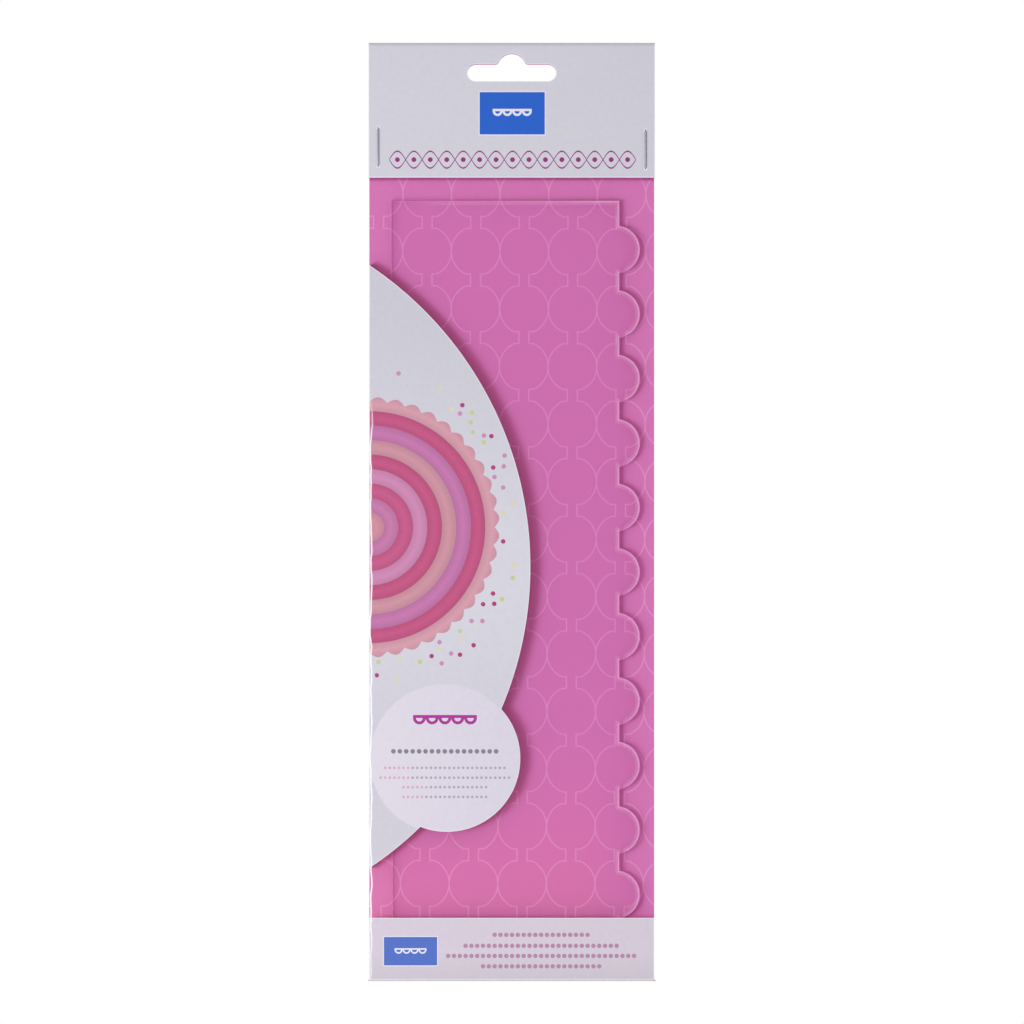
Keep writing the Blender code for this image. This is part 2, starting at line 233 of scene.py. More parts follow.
# %% Lay the floor
FLOOR_HEIGHT = -0.95
FLOOR_RADIUS = 5.0
FLOOR_WHITE = 0.5  # share of the view of the floor that is plain white
SPECKLE_WIDTH = 25 * MM

# Paint put on with a roller: matt, without a mirror, and a little uneven in tone.
floor_paint, tree = new_material("matt_pale_floor_paint")
spot = add_node(tree, "TexCoord").node.outputs["Object"]
speckle = add_node(tree, "TexNoise", {"Vector": spot, "Scale": 1 / SPECKLE_WIDTH})
tone = add_node(tree, "Mix", {0: speckle, 6: ink("#efeff1"), 7: ink("#f4f4f5")}, data_type="RGBA")
paint = add_node(tree, "BsdfPrincipled", {"Base Color": tone, "Roughness": 0.85})
glow = add_node(tree, "Emission", {"Color": ink("#ffffff"), "Strength": 1.0})
share = add_node(tree, "Math", [seen_directly(tree), FLOOR_WHITE], operation="MULTIPLY")
add_node(tree, "OutputMaterial", {"Surface": add_node(tree, "MixShader", [share, paint, glow])})

shape = bmesh.new()
at_floor = Matrix.Translation((0.0, 0.0, FLOOR_HEIGHT))
bmesh.ops.create_circle(shape, cap_ends=True, segments=96, radius=FLOOR_RADIUS, matrix=at_floor)
floor = new_piece("floor", shape, floor_paint)
floor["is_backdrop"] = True

# %% [markdown]
# ## The acrylic plate
# The plate is laser-cut from 3 mm cast acrylic sheet, and its edges come off the laser polished. A
# cube with a Boolean could give it, but the edge is really one line of arcs. So one vertex is spun
# round each rib's centre, the arcs are joined into an outline, the outline becomes a face and the
# face is extruded. The plate's foot cuts the lowest rib short, so that rib's arc starts higher up.
# A small bevel stands for the melted corner that the laser leaves.

# %% Sizes of the ribbed edge
RIB_CHORD = 15.5 * MM  # height of a rib where it leaves the plain edge
RIB_PITCH = 21.095 * MM
RIB_DEPTH = 6.7 * MM
RIB_STEPS = 40
TOP_MARGIN = 8.2 * MM  # plain edge above the top rib
CUT_PLAY = 0.13 * MM  # how far the laser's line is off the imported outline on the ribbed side
CUT_ASKEW = 0.5 * MM  # how far the plain edge leans out at its upper end

rib_count = round((blade_high.z - blade_low.z - TOP_MARGIN) / RIB_PITCH)
rib_radius = ((RIB_CHORD / 2) ** 2 + RIB_DEPTH**2) / (2 * RIB_DEPTH)
rib_centre = blade_high.x + CUT_PLAY - rib_radius
land_edge = blade_high.x + CUT_PLAY - RIB_DEPTH
rib_half_angle = math.asin(RIB_CHORD / 2 / rib_radius)
print(f"{rib_count} ribs, radius {rib_radius / MM:.2f} mm")


# %% Draw the outline
def spin_rib(shape, middle):
    """Spins a vertex up round a rib and gives the first and the last."""
    drop = min(RIB_CHORD / 2, middle - blade_low.z)
    start = math.asin(drop / rib_radius)
    foot = shape.verts.new((rib_centre + rib_radius * math.cos(start), blade_low.y, middle - drop))
    spun = bmesh.ops.spin(
        shape,
        geom=[foot],
        cent=(rib_centre, blade_low.y, middle),
        axis=(0.0, -1.0, 0.0),
        angle=start + rib_half_angle,
        steps=RIB_STEPS,
    )
    return foot, spun["geom_last"][0]


shape = bmesh.new()
plain_edge = ((blade_low.x - CUT_ASKEW, blade_high.z), (blade_low.x, blade_low.z))
corners = [shape.verts.new((x, blade_low.y, z)) for x, z in plain_edge]
for i in reversed(range(rib_count)):
    corners += spin_rib(shape, blade_high.z - TOP_MARGIN - RIB_CHORD / 2 - i * RIB_PITCH)
corners.append(shape.verts.new((land_edge, blade_low.y, blade_high.z)))
shape.edges.new(corners[:2])
for before, after in zip(corners[1::2], corners[2::2]):
    shape.edges.new((before, after))
shape.edges.new((corners[-1], corners[0]))
bmesh.ops.contextual_create(shape, geom=shape.edges[:])
print(f"outline of {len(shape.verts)} points")

# %% Extrude the plate
POLISHED_CORNER = 0.15 * MM
LEVEL = 0.1 * MM  # an edge whose ends differ less than this in depth lies in a face of the sheet

swept = bmesh.ops.extrude_face_region(shape, geom=shape.faces[:])
far_side = [v for v in swept["geom"] if isinstance(v, bmesh.types.BMVert)]
bmesh.ops.translate(shape, verts=far_side, vec=(0.0, blade_high.y - blade_low.y, 0.0))
bmesh.ops.recalc_face_normals(shape, faces=shape.faces)
rims = [e for e in shape.edges if abs(e.verts[0].co.y - e.verts[1].co.y) < LEVEL]
bmesh.ops.bevel(
    shape, geom=rims, offset=POLISHED_CORNER, segments=3, profile=0.5, affect="EDGES", material=-1
)
print(f"plate of {len(shape.faces)} faces")

# %% [markdown]
# ## Light in the plate's edge
# Light that enters the plate's face runs inside it and is thrown back at the polished edge, so a
# narrow strip just inside the edges that look away from the softbox is brighter. A renderer finds
# such light only with very many rays, so that strip is a painted highlight: the face gets a narrow
# inset, and an attribute on its outer points says how bright the painted strip is. It fades to
# nothing on the inner points. A second attribute, the glint, says on the melted corner itself how
# straight it looks away, and sets the painted highlight there.

# %% Mark the bright strip
BRIGHT_STRIP = 1.5 * MM
STRIP_GAIN = 4.0  # the strip has its full strength where the edge looks only a little away
CORNER_DEPTH = 1.1 * POLISHED_CORNER  # takes in every point of the front's melted corner
SHEET_FACE = 0.95  # faces that look this straight to the front or back are the sheet's own
from_softbox = Vector((-SOFTBOX_PLACE.x, 0.0, PICTURE_MIDDLE.z - SOFTBOX_PLACE.z)).normalized()


def looks_away(vert):
    """How straight the edge looks away from the softbox at a point: 1 at most, below 0 towards it."""
    return Vector((vert.normal.x, 0.0, vert.normal.z)).normalized().dot(from_softbox)


edge_light = shape.verts.layers.float.new("edge_light")
glint = shape.verts.layers.float.new("glint")
shape.normal_update()
for vert in shape.verts:
    if vert.co.y < blade_low.y + CORNER_DEPTH:
        vert[glint] = max(0.0, looks_away(vert))
front_face = min(shape.faces, key=lambda face: face.normal.y * face.calc_area())
for vert in front_face.verts:
    vert[edge_light] = min(1.0, max(0.0, STRIP_GAIN * looks_away(vert)))
inner = bmesh.ops.inset_region(shape, faces=[front_face], thickness=BRIGHT_STRIP, use_even_offset=True)
for vert in front_face.verts:
    vert[edge_light] = 0.0
for face in shape.faces:
    face.material_index = 0 if abs(face.normal.y) > SHEET_FACE else 1
print(f"{len(inner['faces'])} faces in the strip")

# %% [markdown]
# ## Acrylic as a material
# Cast acrylic (PMMA) has an IOR of 1.49 and no colour of its own. It is rendered as real glass to
# the eye, but rays that carry the lamps' and the walls' light go straight through it with a small
# loss. Otherwise a renderer would have to find that light by chance, which gives specks. Most of
# the cut edge's light is scattered by the laser's fine ridges, so a diffuse shader is mixed in, and
# its colour is a painted highlight where the edge looks away from the softbox. The cut edges also
# pass less light than the faces, and least towards the back: that is what draws the dark line
# beside the plate on the card.


# %% Rays that carry light
def lit_through(tree, glass, passed):
    """The glass for the eye, and a clear surface for rays that carry light, which loses a little."""
    path = add_node(tree, "LightPath").node.outputs
    carries = add_node(tree, "Math", [path["Is Shadow Ray"], path["Is Diffuse Ray"]], operation="MAXIMUM")
    clear = add_node(tree, "BsdfTransparent", {"Color": passed})
    surface = add_node(tree, "MixShader", [carries, glass, clear])
    add_node(tree, "OutputMaterial", {"Surface": surface})


# %% Polished faces
ACRYLIC_IOR = 1.49
STRIP_PARTS = (  # where each part of the bright strip starts and is full, and how bright it is
    (0.08, 0.22, 0.13),
    (0.5, 0.9, 0.18),
    (0.76, 0.96, 0.42),
)

# Cast between sheets of glass: clear and flat, with a mirror as sharp as a window's.
polished_face, tree = new_material("cast_acrylic_face")
glass = add_node(
    tree,
    "BsdfPrincipled",
    {
        "Base Color": ink("#fefefe"),
        "Roughness": 0.0,
        "IOR": ACRYLIC_IOR,
        "Transmission Weight": 1.0,
        "Specular Tint": ink("#5c5c5c"),
    },
)
strip = add_node(tree, "Attribute", attribute_name="edge_light").node.outputs["Fac"]
glinting = add_node(tree, "Attribute", attribute_name="glint").node.outputs["Fac"]
wide, narrow, brim = (
    add_node(tree, "MapRange", [strip, starts, full, 0.0, most]) for starts, full, most in STRIP_PARTS
)
brim = add_node(tree, "Math", [brim, glinting], operation="MULTIPLY")
weight = add_node(tree, "Math", [wide, narrow], operation="ADD")
weight = add_node(tree, "Math", [weight, brim], operation="ADD")
# A pale diffuse shader mixed in along the strip is the painted highlight of the light the edge throws
# back.
painted_strip_highlight = add_node(tree, "BsdfDiffuse", {"Color": ink("#ffbbeb")})
lit_through(tree, add_node(tree, "MixShader", [weight, glass, painted_strip_highlight]), ink("#fcf5fb"))
print(f"{polished_face.name}: {len(tree.nodes)} nodes")

# %% Laser-cut edges
EDGE_SCATTER = 0.7  # share of the light that the fine ridges of a laser cut scatter
DARK_FROM = (0.64, 0.34)  # share of the sheet's depth at which the dark starts, left and right
DARK_BLEND = 0.2
FOOT_PALER = 0.5  # share of the dark that is gone at the plate's foot

# Melted by the laser and ridged along its path: a little milky, with a painted highlight where it
# looks away from the softbox, and darker at the back.
cut_edge, tree = new_material("laser_cut_acrylic_edge")
glass = add_node(
    tree,
    "BsdfPrincipled",
    {
        "Base Color": ink("#c9b4c4"),
        "Roughness": 0.12,
        "IOR": ACRYLIC_IOR,
        "Transmission Weight": 1.0,
        "Specular IOR Level": 0.3,
    },
)
edge_glint = add_node(tree, "Attribute", attribute_name="glint").node.outputs["Fac"]
# The scattered colour is a painted highlight, palest where the edge looks away from the softbox.
painted_edge_highlight = add_node(tree, "Mix", {0: edge_glint, 6: ink("#dfa0cb"), 7: ink("#ffdcf2")}, data_type="RGBA")
frosted = add_node(tree, "BsdfDiffuse", {"Color": painted_edge_highlight})
glass = add_node(tree, "MixShader", [EDGE_SCATTER, glass, frosted])
spot = add_node(tree, "TexCoord").node.outputs["Object"]
place = add_node(tree, "SeparateXYZ", [spot]).node.outputs
depth = add_node(tree, "MapRange", [place["Y"], blade_low.y, blade_high.y, 0.0, 1.0])
starts = add_node(tree, "MapRange", [place["X"], blade_low.x, blade_high.x, *DARK_FROM])
ends = add_node(tree, "Math", [starts, DARK_BLEND], operation="ADD")
share = add_node(tree, "MapRange", [depth, starts, ends, 0.0, 1.0], interpolation_type="SMOOTHSTEP")
leftward = add_node(tree, "MapRange", [place["X"], blade_low.x, blade_high.x, 1.0, 0.0])
downward = add_node(tree, "MapRange", [place["Z"], blade_high.z, blade_low.z, 0.0, FOOT_PALER])
paler = add_node(tree, "Math", [leftward, downward], operation="MAXIMUM")
dark = add_node(tree, "Mix", {0: paler, 6: ink("#9a4279"), 7: ink("#c682ae")}, data_type="RGBA")
passed = add_node(tree, "Mix", {0: share, 6: ink("#ece0ea"), 7: dark}, data_type="RGBA")
lit_through(tree, glass, passed)
print(f"{cut_edge.name}: {len(tree.nodes)} nodes")

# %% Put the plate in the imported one's place
blade = new_piece("acrylic_plate", shape, polished_face, cut_edge, sharp=math.radians(10))
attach(blade, "blade")
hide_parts("scraper_blade")

# %% [markdown]
# ## Printed board
# The wallet and the header are folding boxboard, coated on both sides to a silk finish and printed
# by offset. Silk board mirrors a little, its coat is faintly mottled, and where it is cut its fibres
# show as a rough off-white core. The coat's mottle is about 1.5 mm wide and its grain a few
# hundredths of a millimetre. The grain is drawn 0.5 mm wide, so that it shows at all. An image could
# carry the prints, but formulas on the object's coordinates stay sharp at any distance.

# %% Places and colours on a board
CORE = ink("#e3dfe4")
# The pale painted highlight along the cut edges of a die-cut board's front.
RIM_HIGHLIGHT = ink("#f0eef6")
PLAIN_WHITE = ink("#d3d1dc")


def board_place(tree):
    """Where a point lies on the board: its object coordinates in millimetres, as x, y and z."""
    spot = add_node(tree, "TexCoord").node.outputs["Object"]
    scaled = add_node(tree, "VectorMath", {"Vector": spot, "Scale": 1 / MM}, operation="SCALE")
    split = add_node(tree, "SeparateXYZ", [scaled]).node.outputs
    return scaled, split["X"], split["Y"], split["Z"]


def overprint(tree, under, colour, mask):
    """Prints a colour over what is there, where the mask is 1."""
    return add_node(tree, "Mix", {0: mask, 6: under, 7: colour}, data_type="RGBA")


def board_sides(tree, outward, outside, inside):
    """Picks a board's colour by the way a face looks: out of the wallet, into it, or its cut edge."""
    normal = add_node(tree, "TexCoord").node.outputs["Normal"]
    side = add_node(tree, "VectorMath", [normal, outward], operation="DOT_PRODUCT")
    out = add_node(tree, "Math", [side, 0.5], operation="GREATER_THAN")
    into = add_node(tree, "Math", [side, -0.5], operation="LESS_THAN")
    # A pale painted highlight along the cut edges of the outside.
    rim = add_node(tree, "Attribute", attribute_name="painted_rim_highlight").node.outputs["Fac"]
    outside = overprint(tree, outside, RIM_HIGHLIGHT, rim)
    return overprint(tree, overprint(tree, CORE, outside, out), inside, into)


# %% Silk coat
MOTTLE_WIDTH = 1.5
GRAIN_WIDTH = 0.5
GRAIN_RISE = 0.006 * MM
MOST_NOISE = (0.25, 0.75)  # nearly all values of the noise lie between these


def silk_coat(tree, spot, colour, glows=None):
    """Gives printed board its silk coat: a faint mottle, an uneven sheen and a fine grain.

    The little light that comes through the board into its own shadow has the colour that glows gives.
    """
    mottle = add_node(tree, "TexNoise", {"Vector": spot, "Scale": 1 / MOTTLE_WIDTH, "Detail": 3.0})
    shade = add_node(tree, "MapRange", [mottle, *MOST_NOISE, 0.975, 1.02])
    toned = add_node(tree, "Mix", {0: 1.0, 6: colour, 7: shade}, data_type="RGBA", blend_type="MULTIPLY")
    sheen = add_node(tree, "MapRange", [mottle, *MOST_NOISE, 0.40, 0.47])
    grain = add_node(tree, "TexNoise", {"Vector": spot, "Scale": 1 / GRAIN_WIDTH, "Detail": 2.0})
    bump = add_node(tree, "Bump", {"Height": grain, "Distance": GRAIN_RISE, "Strength": 0.6})
    board = add_node(
        tree,
        "BsdfPrincipled",
        {"Base Color": toned, "Roughness": sheen, "Normal": bump, "Specular IOR Level": 0.06},
    )
    if glows:
        lamp = add_node(tree, "LightPath").node.outputs["Is Shadow Ray"]
        board = add_node(tree, "MixShader", [lamp, board, add_node(tree, "BsdfTransparent", [glows])])
    add_node(tree, "OutputMaterial", {"Surface": board})


# %% [markdown]
# ## The pink print and its hairlines
# The wallet's inside is printed solid pink with a common pattern: columns of circles in hairlines,
# where each circle opens into the next through a short neck. One formula draws it. Folding x and z
# with ping-pong brings every circle onto one. The distance to that circle, which is cut flat at its
# shoulders, and the distance to a straight bar are measured there, and the smaller of the two is
# zero along the joined outline. Towards the foot both the solid pink and the hairline have a second,
# paler colour: painted light over the shade above the bottom flap.

# %% Hairline pattern
COLUMN_PITCH = 15.9
COLUMN_START = 4.08  # x of a column where it meets the height below
ROW_PITCH = 18.805
ROW_START = -64.78
PRINT_LEAN = 0.0035  # the sheet went through the press a fifth of a degree askew
CIRCLE_ACROSS = 7.97  # half the circle's width, and below half its height
CIRCLE_UP = 8.1
SHOULDER = 7.45  # height above a circle's middle at which it runs flat into the neck
NECK_HALF = 1.63
HAIRLINE = 0.42
HAIRLINE_SOFT = 0.13  # how far the line's edge is blurred to each side


def hairline_circles(tree, x, z):
    """1 on the hairlines of linked circles, and 0 elsewhere."""
    offset = PRINT_LEAN * ROW_START - COLUMN_START
    moved = add_node(tree, "Math", [z, -PRINT_LEAN, offset], operation="MULTIPLY_ADD")
    moved = add_node(tree, "Math", [x, moved], operation="ADD")
    across = add_node(tree, "Math", [moved, COLUMN_PITCH / 2], operation="PINGPONG")
    moved = add_node(tree, "Math", [x, PRINT_LEAN, -ROW_START], operation="MULTIPLY_ADD")
    moved = add_node(tree, "Math", [z, moved], operation="ADD")
    up = add_node(tree, "Math", [moved, ROW_PITCH / 2], operation="PINGPONG")
    rounded = add_node(tree, "Math", [up, CIRCLE_ACROSS / CIRCLE_UP], operation="MULTIPLY")
    from_middle = add_node(tree, "CombineXYZ", [across, rounded, 0.0])
    reach = add_node(tree, "VectorMath", [from_middle], operation="LENGTH")
    circle = add_node(tree, "Math", [reach, CIRCLE_ACROSS], operation="SUBTRACT")
    shoulder = add_node(tree, "Math", [up, SHOULDER], operation="SUBTRACT")
    circle = add_node(tree, "Math", [circle, shoulder], operation="MAXIMUM")
    neck = add_node(tree, "Math", [across, NECK_HALF], operation="SUBTRACT")
    outline = add_node(tree, "Math", [circle, neck], operation="MINIMUM")
    away = add_node(tree, "Math", [outline], operation="ABSOLUTE")
    inner, outer = HAIRLINE / 2 - HAIRLINE_SOFT, HAIRLINE / 2 + HAIRLINE_SOFT
    return add_node(tree, "MapRange", [away, inner, outer, 1.0, 0.0])


print(f"circles {2 * CIRCLE_ACROSS} mm across, every {COLUMN_PITCH} mm")

# %% Pink board
PINK = "#d577b5"
PINK_PAINTED_LIGHT = "#de7bb1"
PINK_HAIRLINE = "#df8ec3"
HAIRLINE_PAINTED_LIGHT = "#ea96c4"
PAINTED_LIGHT_HEIGHTS = (-225.0, -285.0)  # z at which the painted light starts, and where it is strongest
PAINTED_LIGHT_FADES = (24.0, 42.0)  # x from which the painted light is weaker, and from which there is none


def pink_print(tree, x, z):
    """Solid pink with hairlines, painted lighter towards the foot, on the left and in the middle."""
    low = add_node(tree, "MapRange", [z, *PAINTED_LIGHT_HEIGHTS, 0.0, 1.0])
    left = add_node(tree, "MapRange", [x, *PAINTED_LIGHT_FADES, 1.0, 0.0])
    foot_painted_light = add_node(tree, "Math", [low, left], operation="MULTIPLY")
    # Paler pink towards the foot: painted light over the shade above the bottom flap.
    ground = overprint(tree, ink(PINK), ink(PINK_PAINTED_LIGHT), foot_painted_light)
    hairline = overprint(tree, ink(PINK_HAIRLINE), ink(HAIRLINE_PAINTED_LIGHT), foot_painted_light)
    return overprint(tree, ground, hairline, hairline_circles(tree, x, z))


def wallet_board(name, outward, printed=None, glows=None):
    """Board that is pink inside the wallet and white outside, with a print on its outside if given."""
    made, tree = new_material(name)
    spot, x, y, z = board_place(tree)
    outside = printed(tree, x, z) if printed else PLAIN_WHITE
    colour = board_sides(tree, outward, outside, pink_print(tree, x, z))
    silk_coat(tree, spot, colour, glows)
    return made


# %% [markdown]
# ## The back panel and the spines
# These three leaves are flat, square-edged and mostly covered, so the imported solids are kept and
# only get their material. They are one sheet: solid offset ink under the silk coat makes its inside
# an even pink with a soft sheen, and its outside is bare coated board, a cool white.


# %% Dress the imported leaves
def dress(node, made):
    """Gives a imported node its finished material."""
    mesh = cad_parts[node].data
    mesh.materials.clear()
    mesh.materials.append(made)
    print(f"{node} is now {made.name}")


dress("backing_card", wallet_board("pink_printed_boxboard", (0.0, 1.0, 0.0)))
dress("side_spine", wallet_board("side_spine_boxboard", (-1.0, 0.0, 0.0)))
dress("bottom_spine", wallet_board("bottom_spine_boxboard", (0.0, 0.0, -1.0)))

# %% [markdown]
# ## Die-cut boards
# The header and both flaps are cut with a steel rule, which presses the board down along its cut
# edges. The pressed coat catches the light as a pale rim a third of a millimetre wide, and that rim
# is a painted highlight. A bevel could make it, but board so thin has no room for one. So the front
# of each board gets a narrow inset, and an attribute on its outer points tells the material where
# the painted highlight is.

# %% Copy a board and press its rim
RIM_HIGHLIGHT_WIDTH = 0.36 * MM
CUT_CORNER = math.radians(60)  # faces that meet more sharply than this are at a cut edge
FLAT_CORNER = math.radians(0.3)  # faces that meet less sharply than this are one face
SAME_POINT = 0.001 * MM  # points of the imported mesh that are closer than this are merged


def die_cut(name, node, body, made, finish=None):
    """Copies a packed board and marks a rim along its front for a painted highlight. finish first changes
    its shape.
    """
    shape = bmesh.new()
    shape.from_mesh(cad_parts[node].data)
    bmesh.ops.remove_doubles(shape, verts=shape.verts[:], dist=SAME_POINT)
    if finish:
        finish(shape)
    bmesh.ops.dissolve_limit(
        shape, angle_limit=FLAT_CORNER, verts=shape.verts[:], edges=shape.edges[:]
    )
    shape.normal_update()
    rim = shape.verts.layers.float.new("painted_rim_highlight")
    front = [face for face in shape.faces if face.normal.y < -0.5]
    for edge in {edge for face in front for edge in face.edges}:
        if edge.calc_face_angle(0.0) > CUT_CORNER:
            for vert in edge.verts:
                vert[rim] = 1.0
    strip = bmesh.ops.inset_region(shape, faces=front, thickness=RIM_HIGHLIGHT_WIDTH, use_even_offset=True)
    for vert in {vert for face in front for vert in face.verts}:
        vert[rim] = 0.0
    print(f"{len(strip['faces'])} faces in the rim of {name}")
    piece = new_piece(name, shape, made, sharp=math.radians(30))
    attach(piece, body)
    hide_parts(node)


# %% [markdown]
# ## Marks that several prints share
# The outside of the flaps and the header carry plain blocks and small marks. A block is a range in
# x and a range in z. A rule is a row of dots. A scallop is a row of half rounds under a bar, which
# repeats the plate's ribbed edge as a sign.

# %% Block, dotted rule and scallop
BLUE = ink("#3065cb")
SOFT_BLUE = ink("#5874c6")
KEYLINE = ink("#e6e3ef")
MAGENTA = ink("#9b3a7f")


def block(tree, x, z, left, right, low, high):
    """1 inside a block of print, and 0 outside."""
    wide = add_node(tree, "Math", [x, (left + right) / 2, (right - left) / 2], operation="COMPARE")
    tall = add_node(tree, "Math", [z, (low + high) / 2, (high - low) / 2], operation="COMPARE")
    return add_node(tree, "Math", [wide, tall], operation="MULTIPLY")


def from_nearest(tree, x, z, first, pitch, height):
    """How far a point is from the nearest of a row of spots at one height."""
    moved = add_node(tree, "Math", [x, first], operation="SUBTRACT")
    across = add_node(tree, "Math", [moved, pitch / 2], operation="PINGPONG")
    up = add_node(tree, "Math", [z, height], operation="SUBTRACT")
    offset = add_node(tree, "CombineXYZ", [across, up, 0.0])
    return add_node(tree, "VectorMath", [offset], operation="LENGTH")


def dotted_rule(tree, x, z, middle, height, half, pitch, dot):
    """1 on a row of round dots, as many as fit between middle - half and middle + half."""
    away = from_nearest(tree, x, z, middle, pitch, height)
    dots = add_node(tree, "Math", [away, dot], operation="LESS_THAN")
    reach = math.floor(half / pitch) * pitch + pitch / 2
    near = add_node(tree, "Math", [x, middle, reach], operation="COMPARE")
    return add_node(tree, "Math", [dots, near], operation="MULTIPLY")


def scallop(tree, x, z, left, right, high, count, line):
    """1 on a bar with a row of half rounds hanging from it, drawn in a line of one width."""
    pitch = (right - left) / count
    away = from_nearest(tree, x, z, left + pitch / 2, pitch, high)
    rounds = add_node(tree, "Math", [away, (pitch - line) / 2, line / 2], operation="COMPARE")
    under = block(tree, x, z, left, right, high - pitch, high)
    hanging = add_node(tree, "Math", [rounds, under], operation="MULTIPLY")
    bar = block(tree, x, z, left, right, high, high + line)
    return add_node(tree, "Math", [hanging, bar], operation="MAXIMUM")


# %% Framed block with a scallop in it
MARK_MARGIN = 0.2  # bare share of the block's width at each end of the scallop
MARK_HEIGHT = 0.55  # height of the scallop's bar as a share of the block's
MARK_LINE = 0.055  # width of its line, as a share of the same
MARK_ROUNDS = 4


def framed_block(tree, x, z, under, colour, edges, keyline):
    """Prints a solid block with a pale line round it and a small scallop in its middle."""
    left, right, low, high = edges
    grown = block(tree, x, z, left - keyline, right + keyline, low - keyline, high + keyline)
    printed = overprint(tree, under, KEYLINE, grown)
    printed = overprint(tree, printed, colour, block(tree, x, z, *edges))
    margin = MARK_MARGIN * (right - left)
    bar = low + MARK_HEIGHT * (high - low)
    line = MARK_LINE * (high - low)
    mark = scallop(tree, x, z, left + margin, right - margin, bar, MARK_ROUNDS, line)
    return overprint(tree, printed, KEYLINE, mark)


# %% [markdown]
# ## The header card
# One board is folded over the bag's mouth. Its front leaf has a blue block under the hang slot and
# a line of ornament under that: two waves that cross, with a dot in each eye. Only the front
# leaf's outer face is printed, so the print is kept to faces that look forward and lie in front.
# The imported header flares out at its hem, over the gathered film. Stapled board this stiff hangs
# straight, so the copy's hem is drawn straight down and a little shorter.

# %% Header ornament
ORNAMENT_LEFT = -40.1
ORNAMENT_RIGHT = 40.6
ORNAMENT_MIDDLE = -34.75
ORNAMENT_RISE = 2.75
ORNAMENT_EYES = 15
ORNAMENT_LINE = 0.5
ORNAMENT_DOT = 0.8
ORNAMENT_ROOM = 4.0  # half the height of the zone that the ornament is kept to


def ornament(tree, x, z):
    """1 on two crossing waves and on the dots in their eyes."""
    eye = (ORNAMENT_RIGHT - ORNAMENT_LEFT) / ORNAMENT_EYES
    phase = -ORNAMENT_LEFT * math.pi / eye
    turn = add_node(tree, "Math", [x, math.pi / eye, phase], operation="MULTIPLY_ADD")
    wave = add_node(tree, "Math", [turn], operation="SINE")
    wave = add_node(tree, "Math", [wave], operation="ABSOLUTE")
    up = add_node(tree, "Math", [z, ORNAMENT_MIDDLE], operation="SUBTRACT")
    up = add_node(tree, "Math", [up], operation="ABSOLUTE")
    crest = add_node(tree, "Math", [wave, ORNAMENT_RISE], operation="MULTIPLY")
    lines = add_node(tree, "Math", [up, crest, ORNAMENT_LINE / 2], operation="COMPARE")
    away = from_nearest(tree, x, z, ORNAMENT_LEFT + eye / 2, eye, ORNAMENT_MIDDLE)
    dots = add_node(tree, "Math", [away, ORNAMENT_DOT], operation="LESS_THAN")
    drawn = add_node(tree, "Math", [lines, dots], operation="MAXIMUM")
    low, high = ORNAMENT_MIDDLE - ORNAMENT_ROOM, ORNAMENT_MIDDLE + ORNAMENT_ROOM
    zone = block(tree, x, z, ORNAMENT_LEFT, ORNAMENT_RIGHT, low, high)
    return add_node(tree, "Math", [drawn, zone], operation="MULTIPLY")


# %% Print and cut the header
HEADER_BLOCK = (-10.5, 10.8, -26.5, -12.65)  # left, right, low and high
HEADER_KEYLINE = 0.35
FLARE = 1.7 * MM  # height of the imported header's flared end
HEM_LIFT = 0.4 * MM
header_edge = header_low.z + HEM_LIFT


def straighten_hem(shape):
    """Draws the header's flared end straight down, and ends both of its leaves a little higher."""
    shape.normal_update()
    for vert in shape.verts:
        below = header_low.z + FLARE - vert.co.z
        if below > 0.0:
            vert.co.z += HEM_LIFT * below / FLARE
            if vert.co.y < 0.0:
                vert.co.y = -header_high.y + (0.0 if vert.normal.y < 0.0 else BOARD)


# Coated board in bare white: cool against the warm pink, with a soft sheen and crisp inks.
header_board, tree = new_material("white_printed_boxboard")
spot, x, y, z = board_place(tree)
printed = framed_block(tree, x, z, PLAIN_WHITE, BLUE, HEADER_BLOCK, HEADER_KEYLINE)
printed = overprint(tree, printed, MAGENTA, ornament(tree, x, z))
front_leaf = add_node(tree, "Math", [y, 0.0], operation="LESS_THAN")
printed = overprint(tree, PLAIN_WHITE, printed, front_leaf)
silk_coat(tree, spot, board_sides(tree, (0.0, -1.0, 0.0), printed, PLAIN_WHITE))
die_cut("die_cut_header", "header_card", "pack", header_board, straighten_hem)

# %% [markdown]
# ## The side flap
# The flap's white outside has a half round of bands in icing colours against the crease, with
# confetti round it, and marks on the badge below. Rings are the distance from one point, so a
# colour ramp with hard steps prints them all at once. Confetti is a Voronoi texture: each cell has
# one spot and one random colour, and a second use of that random value leaves most cells empty.
# A dot is kept or left out by where its own spot lies, so that only whole dots are printed. A
# little light comes through the flap into its own shadow, with the pink of its inside.

# %% Iced bands
RINGS_X = -46.6
RINGS_Z = -155.0
RINGS_RADIUS = 41.0
SCALLOPS = 22
SCALLOP_RISE = 1.6
BAND_SHADE = (0.9, 1.08)  # how bright a band is at its edges and along its middle
BAND_COLOURS = (  # from the middle outwards
    "#cb8c9d", "#c179a7", "#c15c88", "#c987b0", "#bf5883",
    "#c9909f", "#c076a9", "#bf5883", "#cf99a8",
)


def hard_steps(ramp, codes):
    """Fills a colour ramp with equal steps of plain colour."""
    ramp.interpolation = "CONSTANT"
    for i, code in enumerate(codes):
        stop = ramp.elements[i] if i < 2 else ramp.elements.new(i / len(codes))
        stop.position = i / len(codes)
        stop.color = ink(code)


